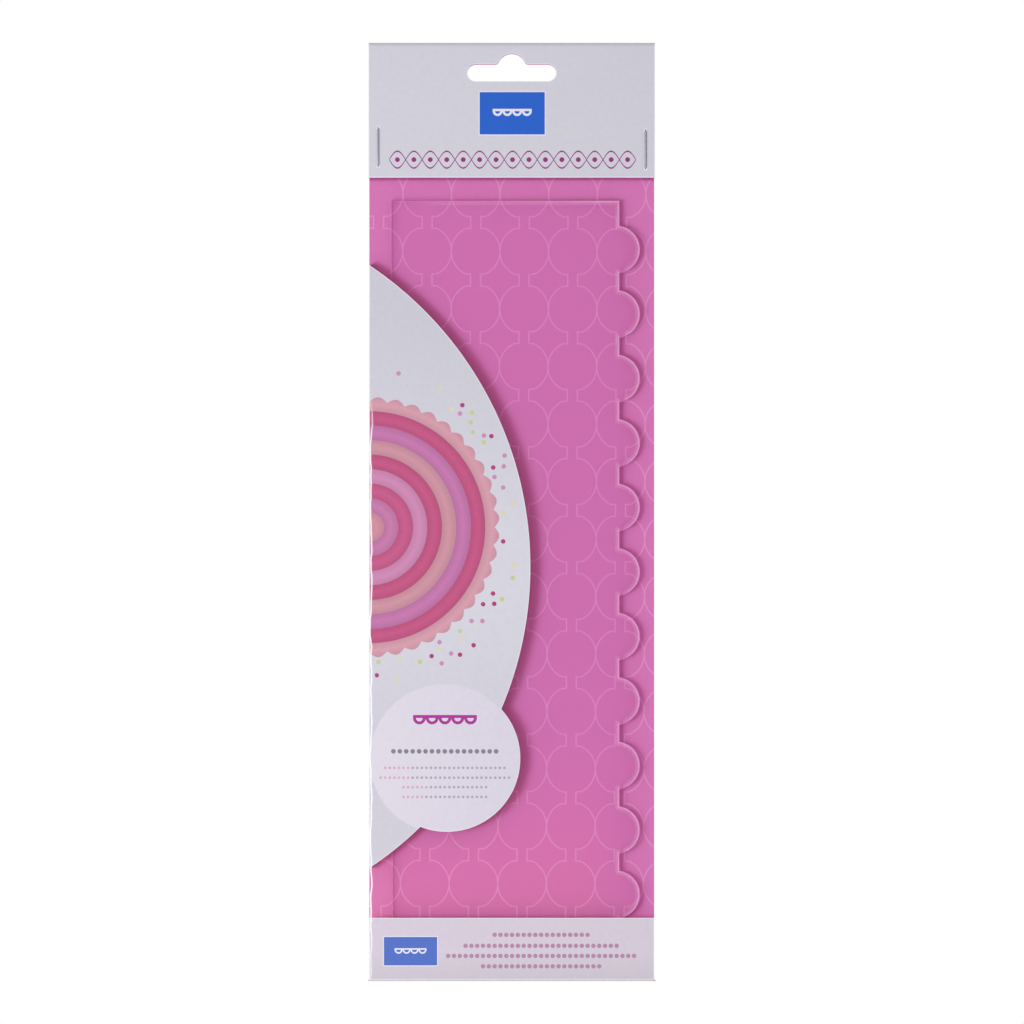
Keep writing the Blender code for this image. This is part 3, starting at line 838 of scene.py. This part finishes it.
def iced_rings(tree, under, x, z):
    """Prints the half round of bands: each is a little lighter along its middle, like piped icing."""
    side = add_node(tree, "Math", [x, RINGS_X], operation="SUBTRACT")
    up = add_node(tree, "Math", [z, RINGS_Z], operation="SUBTRACT")
    offset = add_node(tree, "CombineXYZ", [side, up, 0.0])
    away = add_node(tree, "VectorMath", [offset], operation="LENGTH")
    angle = add_node(tree, "Math", [up, side], operation="ARCTAN2")
    turn = add_node(tree, "Math", [angle, SCALLOPS], operation="MULTIPLY")
    lobe = add_node(tree, "Math", [turn], operation="SINE")
    lobe = add_node(tree, "Math", [lobe], operation="ABSOLUTE")
    edge = add_node(tree, "Math", [lobe, SCALLOP_RISE, RINGS_RADIUS], operation="MULTIPLY_ADD")
    inside = add_node(tree, "Math", [away, edge], operation="LESS_THAN")
    share = add_node(tree, "Math", [away, RINGS_RADIUS + SCALLOP_RISE], operation="DIVIDE")
    bands = add_node(tree, "ValToRGB", [share])
    hard_steps(bands.node.color_ramp, BAND_COLOURS)
    half_band = 0.5 / len(BAND_COLOURS)
    crest = add_node(tree, "Math", [share, half_band], operation="PINGPONG")
    shade = add_node(tree, "MapRange", [crest, 0.0, half_band, *BAND_SHADE])
    rounded = add_node(tree, "VectorMath", {"Vector": bands, "Scale": shade}, operation="SCALE")
    return overprint(tree, under, rounded, inside)


print(f"{len(BAND_COLOURS)} bands, {(RINGS_RADIUS + SCALLOP_RISE) / len(BAND_COLOURS):.1f} mm wide each")

# %% Confetti
CONFETTI_CELL = 3.4
CONFETTI_DOT = 0.22  # radius of a dot as a share of a cell
CONFETTI_KEPT = 0.42  # share of the cells that have a dot
CONFETTI_FROM = 43.8  # how far from the rings' middle the nearest and the farthest dots lie
CONFETTI_REACH = 52.0
CONFETTI_COLOURS = ("#b0457c", "#c98fb8", "#c3cf8f", "#dcd3b4")


def confetti(tree, under, x, z):
    """Prints scattered whole dots round the bands, in four colours."""
    flat = add_node(tree, "CombineXYZ", [x, z, 0.0])
    found = add_node(
        tree,
        "TexVoronoi",
        {"Vector": flat, "Scale": 1 / CONFETTI_CELL, "Randomness": 0.8},
        voronoi_dimensions="2D",
    ).node.outputs
    near = add_node(tree, "Math", [found["Distance"], CONFETTI_DOT], operation="LESS_THAN")
    chance = add_node(tree, "SeparateXYZ", [found["Color"]]).node.outputs
    kept = add_node(tree, "Math", [chance["X"], CONFETTI_KEPT], operation="LESS_THAN")
    middle = (RINGS_X, RINGS_Z, 0.0)
    offset = add_node(tree, "VectorMath", [found["Position"], middle], operation="SUBTRACT")
    away = add_node(tree, "VectorMath", [offset], operation="LENGTH")
    ring, half = (CONFETTI_REACH + CONFETTI_FROM) / 2, (CONFETTI_REACH - CONFETTI_FROM) / 2
    reached = add_node(tree, "Math", [away, ring, half], operation="COMPARE")
    mask = add_node(tree, "Math", [near, kept], operation="MULTIPLY")
    mask = add_node(tree, "Math", [mask, reached], operation="MULTIPLY")
    hues = add_node(tree, "ValToRGB", [chance["Y"]])
    hard_steps(hues.node.color_ramp, CONFETTI_COLOURS)
    return overprint(tree, under, hues, mask)


# %% Badge
BADGE_X = -22.0
BADGE_Z = -230.8
BADGE_RADIUS = 24.6
BADGE_SOFT = 0.3  # width of its soft edge


def badge_disc(tree, x, z):
    """1 inside the round badge, which has a lighter ground than the rest of the flap."""
    offset = add_node(tree, "CombineXYZ", [x, z, 0.0])
    offset = add_node(tree, "VectorMath", [offset, (BADGE_X, BADGE_Z, 0.0)], operation="SUBTRACT")
    away = add_node(tree, "VectorMath", [offset], operation="LENGTH")
    return add_node(tree, "MapRange", [away, BADGE_RADIUS - BADGE_SOFT, BADGE_RADIUS, 1.0, 0.0])


# %% The side flap's whole print
BADGE_PAINTED_HIGHLIGHT = (-46.0, 0.0)  # x across which the painted highlight on the badge's left fades and its ground gets darker
BADGE_SIGN = (-32.3, -11.4, -217.4, 5, 1.0)  # left, right, height, half rounds and line
RULES_X = -21.9
LEAD_RULE = (-228.3, 18.2, 2.1, 0.75)  # height, half length, pitch and radius of a dot
SMALL_PITCH = 1.5
SMALL_DOT = 0.42
SMALL_RULES = (  # height, half length and where the pink dots end, as x
    (-233.7, 20.0, -33.15),
    (-236.9, 21.0, -33.15),
    (-240.0, 13.5, -27.15),
    (-243.2, 13.5, -28.65),
)
FLAP_PAINTED_SHADING = (  # painted shade and light: z at which the white starts to change, z at which it has, its new colour
    (-85.0, -160.0, "#d6d4df"),
    (-180.0, -225.0, "#cfccd7"),
)


def side_flap_print(tree, x, z):
    """Prints the flap's outside from the ground up: painted shading, badge, bands, confetti, sign and
    rules.
    """
    # The white is painted darker at the top, lighter in the middle and darker again lower down, as the
    # light falls on the flap, and the badge's ground gets a painted highlight on its left.
    ground = ink("#cbc9d4")
    for start, end, code in FLAP_PAINTED_SHADING:
        painted_shading = add_node(tree, "MapRange", [z, start, end, 0.0, 1.0])
        ground = overprint(tree, ground, ink(code), painted_shading)
    painted_shading = add_node(tree, "MapRange", [x, *BADGE_PAINTED_HIGHLIGHT, 0.0, 1.0])
    badge = overprint(tree, ink("#ded8e4"), ink("#d8d2e1"), painted_shading)
    ground = overprint(tree, ground, badge, badge_disc(tree, x, z))
    printed = confetti(tree, iced_rings(tree, ground, x, z), x, z)
    printed = overprint(tree, printed, ink("#ae3d98"), scallop(tree, x, z, *BADGE_SIGN))
    printed = overprint(tree, printed, ink("#86848f"), dotted_rule(tree, x, z, RULES_X, *LEAD_RULE))
    for height, half, pink_to in SMALL_RULES:
        rule = dotted_rule(tree, x, z, RULES_X, height, half, SMALL_PITCH, SMALL_DOT)
        starts = add_node(tree, "Math", [x, pink_to], operation="LESS_THAN")
        dots = overprint(tree, ink("#a9a7b2"), ink("#dba3c4"), starts)
        printed = overprint(tree, printed, dots, rule)
    return printed


# %% Cut the side flap
# White coated board with a pink inside: cool in the light, and a magenta glow in its shadow.
side_flap_board = wallet_board(
    "side_flap_boxboard", (0.0, -1.0, 0.0), side_flap_print, ink("#cb489c")
)
die_cut("die_cut_side_flap", "side_flap", "side_flap", side_flap_board)

# %% [markdown]
# ## The bottom flap
# It turns up over the plate's foot. Its outside has a lighter blue block and four dotted rules, on
# a white that gets a little darker towards the crease. Its top is cut a little lower than the
# packed one, and a warmer light comes through it.

# %% The bottom flap's print
FOOT_BLOCK = (-41.8, -24.4, -298.3, -289.0)  # left, right, low and high
FOOT_KEYLINE = 0.3
FOOT_FADE = (-294.0, -302.5)  # z at which the white starts to darken, and where it is darkest
FOOT_RULES_X = 9.6
FOOT_PITCH = 1.9
FOOT_DOT = 0.72
FOOT_RULES = ((-288.3, 16.8), (-291.9, 25.2), (-295.2, 30.4), (-298.6, 20.6))  # height, half length


def bottom_flap_print(tree, x, z):
    """Prints the flap's outside: its fading white, the block and the dotted rules."""
    fade = add_node(tree, "MapRange", [z, *FOOT_FADE, 0.0, 1.0])
    ground = overprint(tree, ink("#d5cbd9"), ink("#ccc4cf"), fade)
    printed = framed_block(tree, x, z, ground, SOFT_BLUE, FOOT_BLOCK, FOOT_KEYLINE)
    for height, half in FOOT_RULES:
        rule = dotted_rule(tree, x, z, FOOT_RULES_X, height, half, FOOT_PITCH, FOOT_DOT)
        printed = overprint(tree, printed, ink("#b689a9"), rule)
    return printed


# %% Cut the bottom flap
TOP_DROP = 0.25 * MM


def lower_top(shape):
    """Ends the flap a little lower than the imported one."""
    for vert in shape.verts:
        if vert.co.z > foot_high.z - BOARD:
            vert.co.z -= TOP_DROP


# The same board with a warmer white than the side flap's, and a warmer light through it.
bottom_flap_board = wallet_board(
    "bottom_flap_boxboard", (0.0, -1.0, 0.0), bottom_flap_print, ink("#d68fa0")
)
die_cut("die_cut_bottom_flap", "bottom_flap", "bottom_flap", bottom_flap_board, lower_top)

# %% [markdown]
# ## Creases
# A scored crease is a rounded bead where the board bends. The imported leaves end 0.3 mm apart, so a
# bead closes each of those lines. It could be a tube, but a small bevelled bar lies flush with both
# leaves.

# %% One bead
BEAD_ROUND = 0.18 * MM

# Scored board: the coat stretches over the bend without cracking, so it stays white and silky.
crease_white, tree = new_material("creased_boxboard")
silk_coat(tree, board_place(tree)[0], PLAIN_WHITE)


def crease_bead(name, low, high, outer):
    """A short bar of board from corner low to corner high, rounded on its outer side."""
    shape = bmesh.new()
    size = Vector(high) - Vector(low)
    middle = (Vector(high) + Vector(low)) / 2
    place = Matrix.Translation(middle) @ Matrix.Diagonal((*size, 1.0))
    bmesh.ops.create_cube(shape, size=1.0, matrix=place)
    outer = Vector(outer)
    edges = [
        e
        for e in shape.edges
        if all((v.co - middle).dot(outer) > 0 for v in e.verts)
        and abs((e.verts[0].co - e.verts[1].co).y) < SAME_POINT
        and (e.verts[0].co - e.verts[1].co).length > 10 * BOARD
    ]
    bmesh.ops.bevel(
        shape, geom=edges, offset=BEAD_ROUND, segments=4, profile=0.5, affect="EDGES", material=-1
    )
    piece = new_piece(name, shape, crease_white, sharp=math.radians(40))
    return piece


# %% Beads along both spines
BEAD_PROUD = 0.04 * MM  # how far a bead stands out past its spine
BEAD_OVERLAP = 0.12 * MM  # how far it reaches over each leaf

side_low, side_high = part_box("side_spine")
foot_spine_low, foot_spine_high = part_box("bottom_spine")
side_x = (side_low.x - BEAD_PROUD, side_high.x - BEAD_PROUD)
foot_z = (foot_spine_low.z - BEAD_PROUD, foot_spine_high.z - BEAD_PROUD)
for tag, near, far in (
    ("back", side_high.y, card_low.y),
    ("front", side_low.y - GAP, side_low.y),
):
    depths = (near - BEAD_OVERLAP, far + BEAD_OVERLAP)
    bead = crease_bead(
        f"side_crease_{tag}",
        (side_x[0], depths[0], side_low.z),
        (side_x[1], depths[1], side_high.z),
        (-1.0, 0.0, 0.0),
    )
    foot_bead = crease_bead(
        f"bottom_crease_{tag}",
        (foot_spine_low.x, depths[0], foot_z[0]),
        (foot_spine_high.x, depths[1], foot_z[1]),
        (0.0, 0.0, -1.0),
    )
    if tag == "back":
        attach(bead, "pack")
        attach(foot_bead, "pack")
    else:
        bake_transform(bead)
        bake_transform(foot_bead)

# %% [markdown]
# ## Staples
# A staple is galvanised steel wire, bent square by the stapler. A ring of wire is pushed along each
# straight run and spun through each bend, as the wire itself is fed and bent, and its ends are
# pressed to a chisel point. A curve with a round bevel could make the wire, but not its points.

# %% Galvanised wire
DRAWN_STREAK = (1.0, 1.0, 0.08)  # draws the noise out along the wire, twelve times as long
STREAKS_PER_MM = 9.0

# Drawn through a die and dipped in zinc: a dull grey metal with faint streaks along the wire.
galvanised, tree = new_material("galvanised_steel_wire")
spot = board_place(tree)[0]
drawn = add_node(tree, "VectorMath", [spot, DRAWN_STREAK], operation="MULTIPLY")
streak = add_node(tree, "TexNoise", {"Vector": drawn, "Scale": STREAKS_PER_MM, "Detail": 4.0})
tone = add_node(tree, "Mix", {0: streak, 6: ink("#83818c"), 7: ink("#a3a1ab")}, data_type="RGBA")
dull = add_node(tree, "MapRange", [streak, 0.3, 0.7, 0.3, 0.48])
zinc = add_node(tree, "BsdfPrincipled", {"Base Color": tone, "Metallic": 1.0, "Roughness": dull})
add_node(tree, "OutputMaterial", {"Surface": zinc})
print(f"{galvanised.name}: {len(tree.nodes)} nodes")

# %% Tools that feed and bend the wire
WIRE_SIDES = 16
BEND_STEPS = 6
CHISEL = 0.35 * MM
CHISEL_FLAT = 0.2  # thickness of the chisel point as a share of the wire's


def push(shape, ring, move):
    """Extrudes a ring of edges by a straight run and gives the new ring."""
    swept = bmesh.ops.extrude_edge_only(shape, edges=ring)["geom"]
    bmesh.ops.translate(shape, verts=[v for v in swept if isinstance(v, bmesh.types.BMVert)], vec=move)
    return [e for e in swept if isinstance(e, bmesh.types.BMEdge) and e.is_boundary]


def bend(shape, ring, centre):
    """Spins a ring of edges through a square bend and gives the new ring."""
    verts = {v for e in ring for v in e.verts}
    spun = bmesh.ops.spin(
        shape,
        geom=[*verts, *ring],
        cent=centre,
        axis=(-1.0, 0.0, 0.0),
        angle=math.pi / 2,
        steps=BEND_STEPS,
    )
    return [e for e in spun["geom_last"] if isinstance(e, bmesh.types.BMEdge)]


def chisel(shape, ring, direction):
    """Presses the end of the wire to a flat edge and closes it."""
    tip = push(shape, ring, Vector(direction) * CHISEL)
    verts = {v for e in tip for v in e.verts}
    middle = sum((v.co for v in verts), Vector()) / len(verts)
    for v in verts:
        v.co.y = middle.y + CHISEL_FLAT * (v.co.y - middle.y)
    bmesh.ops.contextual_create(shape, geom=tip)


# %% Make both staples
WIRE = 0.5 * MM
WIRE_BEND = 0.5 * MM
CLINCH = 2.6 * MM  # length of each end that is bent over behind


def staple(name):
    """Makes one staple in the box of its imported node, from one clinched end to the other."""
    low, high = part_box(name)
    radius = WIRE / 2
    x = (low.x + high.x) / 2
    back, front = high.y - radius, low.y + radius
    bottom, top = low.z + radius, high.z - radius
    shape = bmesh.new()
    place = Matrix.Translation((x, back, bottom + CLINCH - CHISEL))
    circle = bmesh.ops.create_circle(shape, segments=WIRE_SIDES, radius=radius, matrix=place)
    start = list({e for v in circle["verts"] for e in v.link_edges})
    ring = push(shape, start, (0.0, 0.0, -(CLINCH - CHISEL - WIRE_BEND)))
    ring = bend(shape, ring, (x, back - WIRE_BEND, bottom + WIRE_BEND))
    ring = push(shape, ring, (0.0, front - back + 2 * WIRE_BEND, 0.0))
    ring = bend(shape, ring, (x, front + WIRE_BEND, bottom + WIRE_BEND))
    ring = push(shape, ring, (0.0, 0.0, top - bottom - 2 * WIRE_BEND))
    ring = bend(shape, ring, (x, front + WIRE_BEND, top - WIRE_BEND))
    ring = push(shape, ring, (0.0, back - front - 2 * WIRE_BEND, 0.0))
    ring = bend(shape, ring, (x, back - WIRE_BEND, top - WIRE_BEND))
    ring = push(shape, ring, (0.0, 0.0, -(CLINCH - CHISEL - WIRE_BEND)))
    chisel(shape, ring, (0.0, 0.0, -1.0))
    chisel(shape, start, (0.0, 0.0, 1.0))
    bmesh.ops.recalc_face_normals(shape, faces=shape.faces)
    piece = new_piece(f"{name}_wire", shape, galvanised, sharp=math.radians(50))
    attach(piece, "pack")
    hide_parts(name)


staple("staple_left")
staple("staple_right")

# %% [markdown]
# ## The film bag
# The bag is thin clear polypropylene film: one tube, welded at the foot and open under the header.
# It is far too thin to stand by itself, so its shape is that of what is in it: the film lies over
# the plate and the flaps, leaves them room to move, and closes in on the card under the header.
# A cloth simulation could settle it there, but the depths are known, so a formula gives them.

# %% How far the film stands out
FILM = 0.1 * MM
SLIDE_TRAVEL = 3.0 * MM
FLAP_OPENS = math.radians(2.0)  # the crease's spring and its swing together
HEM_CLEARANCE = 0.5 * MM  # how far below the header's hem the film has closed in on the card

film_flat_depth = bag_high.y
leaf_depth = -blade_low.y + GAP + BOARD
foot_rise = foot_high.z - foot_low.z
over_flap = leaf_depth + foot_rise * math.sin(FLAP_OPENS) + GAP + FILM
over_blade = -blade_low.y + GAP + FILM
belly_depth = -bag_low.y - over_flap
falls_from = blade_high.z + SLIDE_TRAVEL + GAP
falls_to = header_edge - HEM_CLEARANCE


def smooth_step(low, high, value):
    """0 below low, 1 above high and an even S between them."""
    share = min(1.0, max(0.0, (value - low) / (high - low)))
    return share * share * (3 - 2 * share)


def film_depth(x, z):
    """How far the film's outside stands in front of the card's middle."""
    body = over_flap + (over_blade - over_flap) * smooth_step(flap_high.z, blade_high.z, z)
    rise = body + (film_flat_depth - body) * smooth_step(falls_from, falls_to, z)
    across = (x - bag_low.x) / (bag_high.x - bag_low.x)
    up = min(1.0, max(0.0, (z - bag_low.z) / (falls_from - bag_low.z)))
    belly = belly_depth * 4 * across * (1 - across) * (1 - (2 * up - 1) ** 4)
    above_foot = smooth_step(foot_high.z + GAP, foot_high.z + foot_rise, z)
    beside_ribs = min(1.0, max(0.0, (bag_high.x - x) / (bag_high.x - blade_high.x - GAP)))
    share = 1 - above_foot * (1 - beside_ribs)
    return film_flat_depth + (rise - film_flat_depth) * share + belly * beside_ribs


print(f"film {over_flap / MM:.2f} mm in front over the flaps, {over_blade / MM:.2f} over the plate")

# %% [markdown]
# ## Folds in the film
# Film this thin never lies quite flat: soft folds run up the bag with finer ones between them, and
# three creases fan out from the lower left corner, where the film was pulled tight. A bump texture
# would shade them, but the film's edge would stay a straight line, so they are part of the mesh.

# %% Height of the folds
FOLDS = (  # width and height in mm, slice of the noise and rise in mm: soft folds, then fine ones
    (11.0, 34.0, 3.0, 0.16),
    (3.5, 9.0, 8.0, 0.05),
)
CORNER_FOLDS = ((0.62, 0.30), (0.86, 0.42), (1.12, 0.28))  # lean in radians and rise in mm
CORNER_FOLD_WIDTH = 0.55
CORNER_FOLD_REACH = (5.0, 4.0)  # mm from the corner at which they are highest, and how they fade


def bell(value, middle, width):
    """1 at the middle, falling off to nothing about two widths away."""
    return math.exp(-(((value - middle) / width) ** 2))


def fold_height(x, z):
    """How far wrinkles lift the film off its taut shape. They only ever lift it outwards."""
    lift = 0.0
    for wide, tall, layer, rise in FOLDS:
        spot = Vector((x / (wide * MM), z / (tall * MM), layer))
        lift += rise * (0.5 + 0.5 * noise.noise(spot))
    corner = Vector((x - bag_low.x, z - bag_low.z))
    angle = math.atan2(corner.y, corner.x)
    reach = corner.length / MM
    for lean, rise in CORNER_FOLDS:
        across = reach * math.sin(angle - lean)
        lift += rise * bell(across, 0.0, CORNER_FOLD_WIDTH) * bell(reach, *CORNER_FOLD_REACH)
    return lift * MM


print(f"folds of up to {sum(fold[3] for fold in FOLDS):.2f} mm, more in the corner")

# %% [markdown]
# ## Film as a material
# Square on, the film is as good as invisible, and it mirrors a little at a slant. As glass it would
# need many rays for light that goes almost straight on, so a transparent and a glossy shader are
# mixed by Fresnel, with a low IOR and a ceiling because two thin walls lie close together. Along its
# crease on the left, where it was pulled round the wallet, a white painted highlight stands in for
# the light that the fold mirrors. It is greyer along its welded foot, and where it is gathered under
# the header it lets less light through.

# %% Painted highlight on the crease
CREASE_LINE = -46.0  # x in mm of the film's crease, along which a highlight is painted
CREASE_WANDER = 0.55
CREASE_WAVE = 14.0  # length in mm of its wanderings
CREASE_HALF = 0.38
CREASE_STARTS = (-112.0, -130.0)  # z at which it starts, and from which it has its full strength
CREASE_FADES = (-281.0, -300.0)  # z between which it fades again
CREASE_HIGHLIGHT = 0.8
CREASE_FOOT = 0.35  # share of its strength that is left at the foot


def painted_crease_highlight(tree):
    """How strong the painted highlight is: along the film's crease on the left, where it was pulled round
    the wallet.
    """
    spot, x, y, z = board_place(tree)
    along = add_node(tree, "VectorMath", [spot, (0.0, 0.0, 1.0)], operation="MULTIPLY")
    wander = add_node(tree, "TexNoise", {"Vector": along, "Scale": 1 / CREASE_WAVE, "Detail": 2.0})
    left, right = CREASE_LINE - CREASE_WANDER, CREASE_LINE + CREASE_WANDER
    middle = add_node(tree, "MapRange", [wander, 0.3, 0.7, left, right])
    away = add_node(tree, "Math", [x, middle], operation="SUBTRACT")
    away = add_node(tree, "Math", [away], operation="ABSOLUTE")
    line = add_node(tree, "MapRange", [away, 0.0, CREASE_HALF, 1.0, 0.0], interpolation_type="SMOOTHSTEP")
    lower = add_node(tree, "MapRange", [z, *CREASE_STARTS, 0.0, CREASE_HIGHLIGHT])
    fading = add_node(tree, "MapRange", [z, *CREASE_FADES, 1.0, CREASE_FOOT])
    lower = add_node(tree, "Math", [lower, fading], operation="MULTIPLY")
    front = add_node(tree, "Math", [y, -0.5], operation="LESS_THAN")
    weight = add_node(tree, "Math", [line, lower], operation="MULTIPLY")
    return add_node(tree, "Math", [weight, front], operation="MULTIPLY")


# %% Clear film
FILM_IOR = 1.05
MOST_MIRRORED = 0.12
WELD = (0.4, 0.24)  # height in mm at which the weld starts, and from which it is full
WELD_GREY = 0.55
GATHERED = (1.2, 0.3)  # mm below the header's hem between which the film gathers

# Cast on a chilled roller: clear and glossy, with a soft-edged mirror because it is never flat.
clear_film, tree = new_material("clear_polypropylene_film")
mirrors = add_node(tree, "Fresnel", {"IOR": FILM_IOR})
mirrors = add_node(tree, "Math", [mirrors, MOST_MIRRORED], operation="MINIMUM")
gloss = add_node(tree, "BsdfGlossy", {"Color": ink("#ffffff"), "Roughness": 0.08})
clear = add_node(tree, "BsdfTransparent", {"Color": ink("#ffffff")})
film = add_node(tree, "MixShader", [mirrors, clear, gloss])
# White diffuse along the crease: a painted highlight for the light that the fold mirrors.
crease_highlight_white = add_node(tree, "BsdfDiffuse", {"Color": ink("#fcfcfd")})
film = add_node(tree, "MixShader", [painted_crease_highlight(tree), film, crease_highlight_white])
z = board_place(tree)[3]
# The film is greyer along its welded foot.
weld_from, weld_full = (bag_low.z / MM + height for height in WELD)
weld = add_node(tree, "MapRange", [z, weld_from, weld_full, 0.0, WELD_GREY])
foot_weld_grey = add_node(tree, "BsdfDiffuse", {"Color": ink("#c8c3cb")})
gathers_from, gathers_to = (header_edge / MM - below for below in GATHERED)
gathered = add_node(tree, "MapRange", [z, gathers_from, gathers_to, 0.0, 1.0])
passed = add_node(tree, "Mix", {0: gathered, 6: ink("#ffffff"), 7: ink("#dca9cd")}, data_type="RGBA")
lit_through(tree, add_node(tree, "MixShader", [weld, film, foot_weld_grey]), passed)
print(f"{clear_film.name}: {len(tree.nodes)} nodes")

# %% [markdown]
# ## Wrapping the film
# A flat ring with rounded corners is extruded upwards row by row into a tube, and its foot is
# closed. Then each point of the front is moved out to the film's depth and its fold, and the points
# between front and back are moved in proportion. A grid folded round would need a seam, and this
# tube has none. Solidify gives the film its thickness, inwards.

# %% Lay the ring
FILM_COLUMNS = 90
RING_DEPTH = 5.0 * MM  # depth of the ring before its points are moved
RING_CORNER = 0.7 * MM
AT_THE_SIDE = 1e-7  # an edge that starts this near to the ring's end, in metres, runs along it

bag_width = bag_high.x - bag_low.x
bag_height = bag_high.z - bag_low.z
shape = bmesh.new()
place = Matrix.Translation((0.0, 0.0, bag_low.z)) @ Matrix.Diagonal((bag_width, RING_DEPTH, 1.0, 1.0))
bmesh.ops.create_grid(shape, x_segments=1, y_segments=1, size=0.5, matrix=place)
bmesh.ops.bevel(
    shape,
    geom=shape.verts[:],
    offset=RING_CORNER,
    segments=5,
    profile=0.5,
    affect="VERTICES",
    material=-1,
)
bmesh.ops.delete(shape, geom=shape.faces[:], context="FACES_ONLY")
long_edges = [e for e in shape.edges if e.calc_length() > bag_width / 2]
bmesh.ops.subdivide_edges(shape, edges=long_edges, cuts=FILM_COLUMNS)
side_edges = [
    e
    for e in shape.edges
    if abs(abs(e.verts[0].co.x) - bag_width / 2) < AT_THE_SIDE and e.calc_length() > RING_DEPTH / 2
]
bmesh.ops.subdivide_edges(shape, edges=side_edges, cuts=3)
foot_ring = shape.edges[:]
print(f"ring of {len(foot_ring)} edges")

# %% Push it up and shape it
FILM_ROWS = 150
ROW_CROWDING = 1.45  # rows are closer near the foot, where the folds are

ring = foot_ring
for row in range(FILM_ROWS):
    step = ((row + 1) / FILM_ROWS) ** ROW_CROWDING - (row / FILM_ROWS) ** ROW_CROWDING
    ring = push(shape, ring, (0.0, 0.0, bag_height * step))
bmesh.ops.contextual_create(shape, geom=foot_ring)
for vert in shape.verts:
    x, y, z = vert.co
    forward = 0.5 - y / RING_DEPTH
    front = -film_depth(x, z) - fold_height(x, z) * forward
    vert.co.y = film_flat_depth + (front - film_flat_depth) * forward
bmesh.ops.recalc_face_normals(shape, faces=shape.faces)
bag = new_piece("film_bag", shape, clear_film, sharp=math.radians(50))
thicken = bag.modifiers.new("film_thickness", "SOLIDIFY")
thicken.thickness = FILM
thicken.offset = -1.0
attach(bag, "pack")
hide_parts("clear_bag")

# %% [markdown]
# ## Sizes
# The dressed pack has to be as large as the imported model, so both boxes are written down.

# %% Write both boxes and finish
visual_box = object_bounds()
for name, (low, high) in (("packed", cad_box), ("dressed", visual_box)):
    print(name, "box in mm:", [f"{c / MM:.2f}" for c in (*low, *high)])
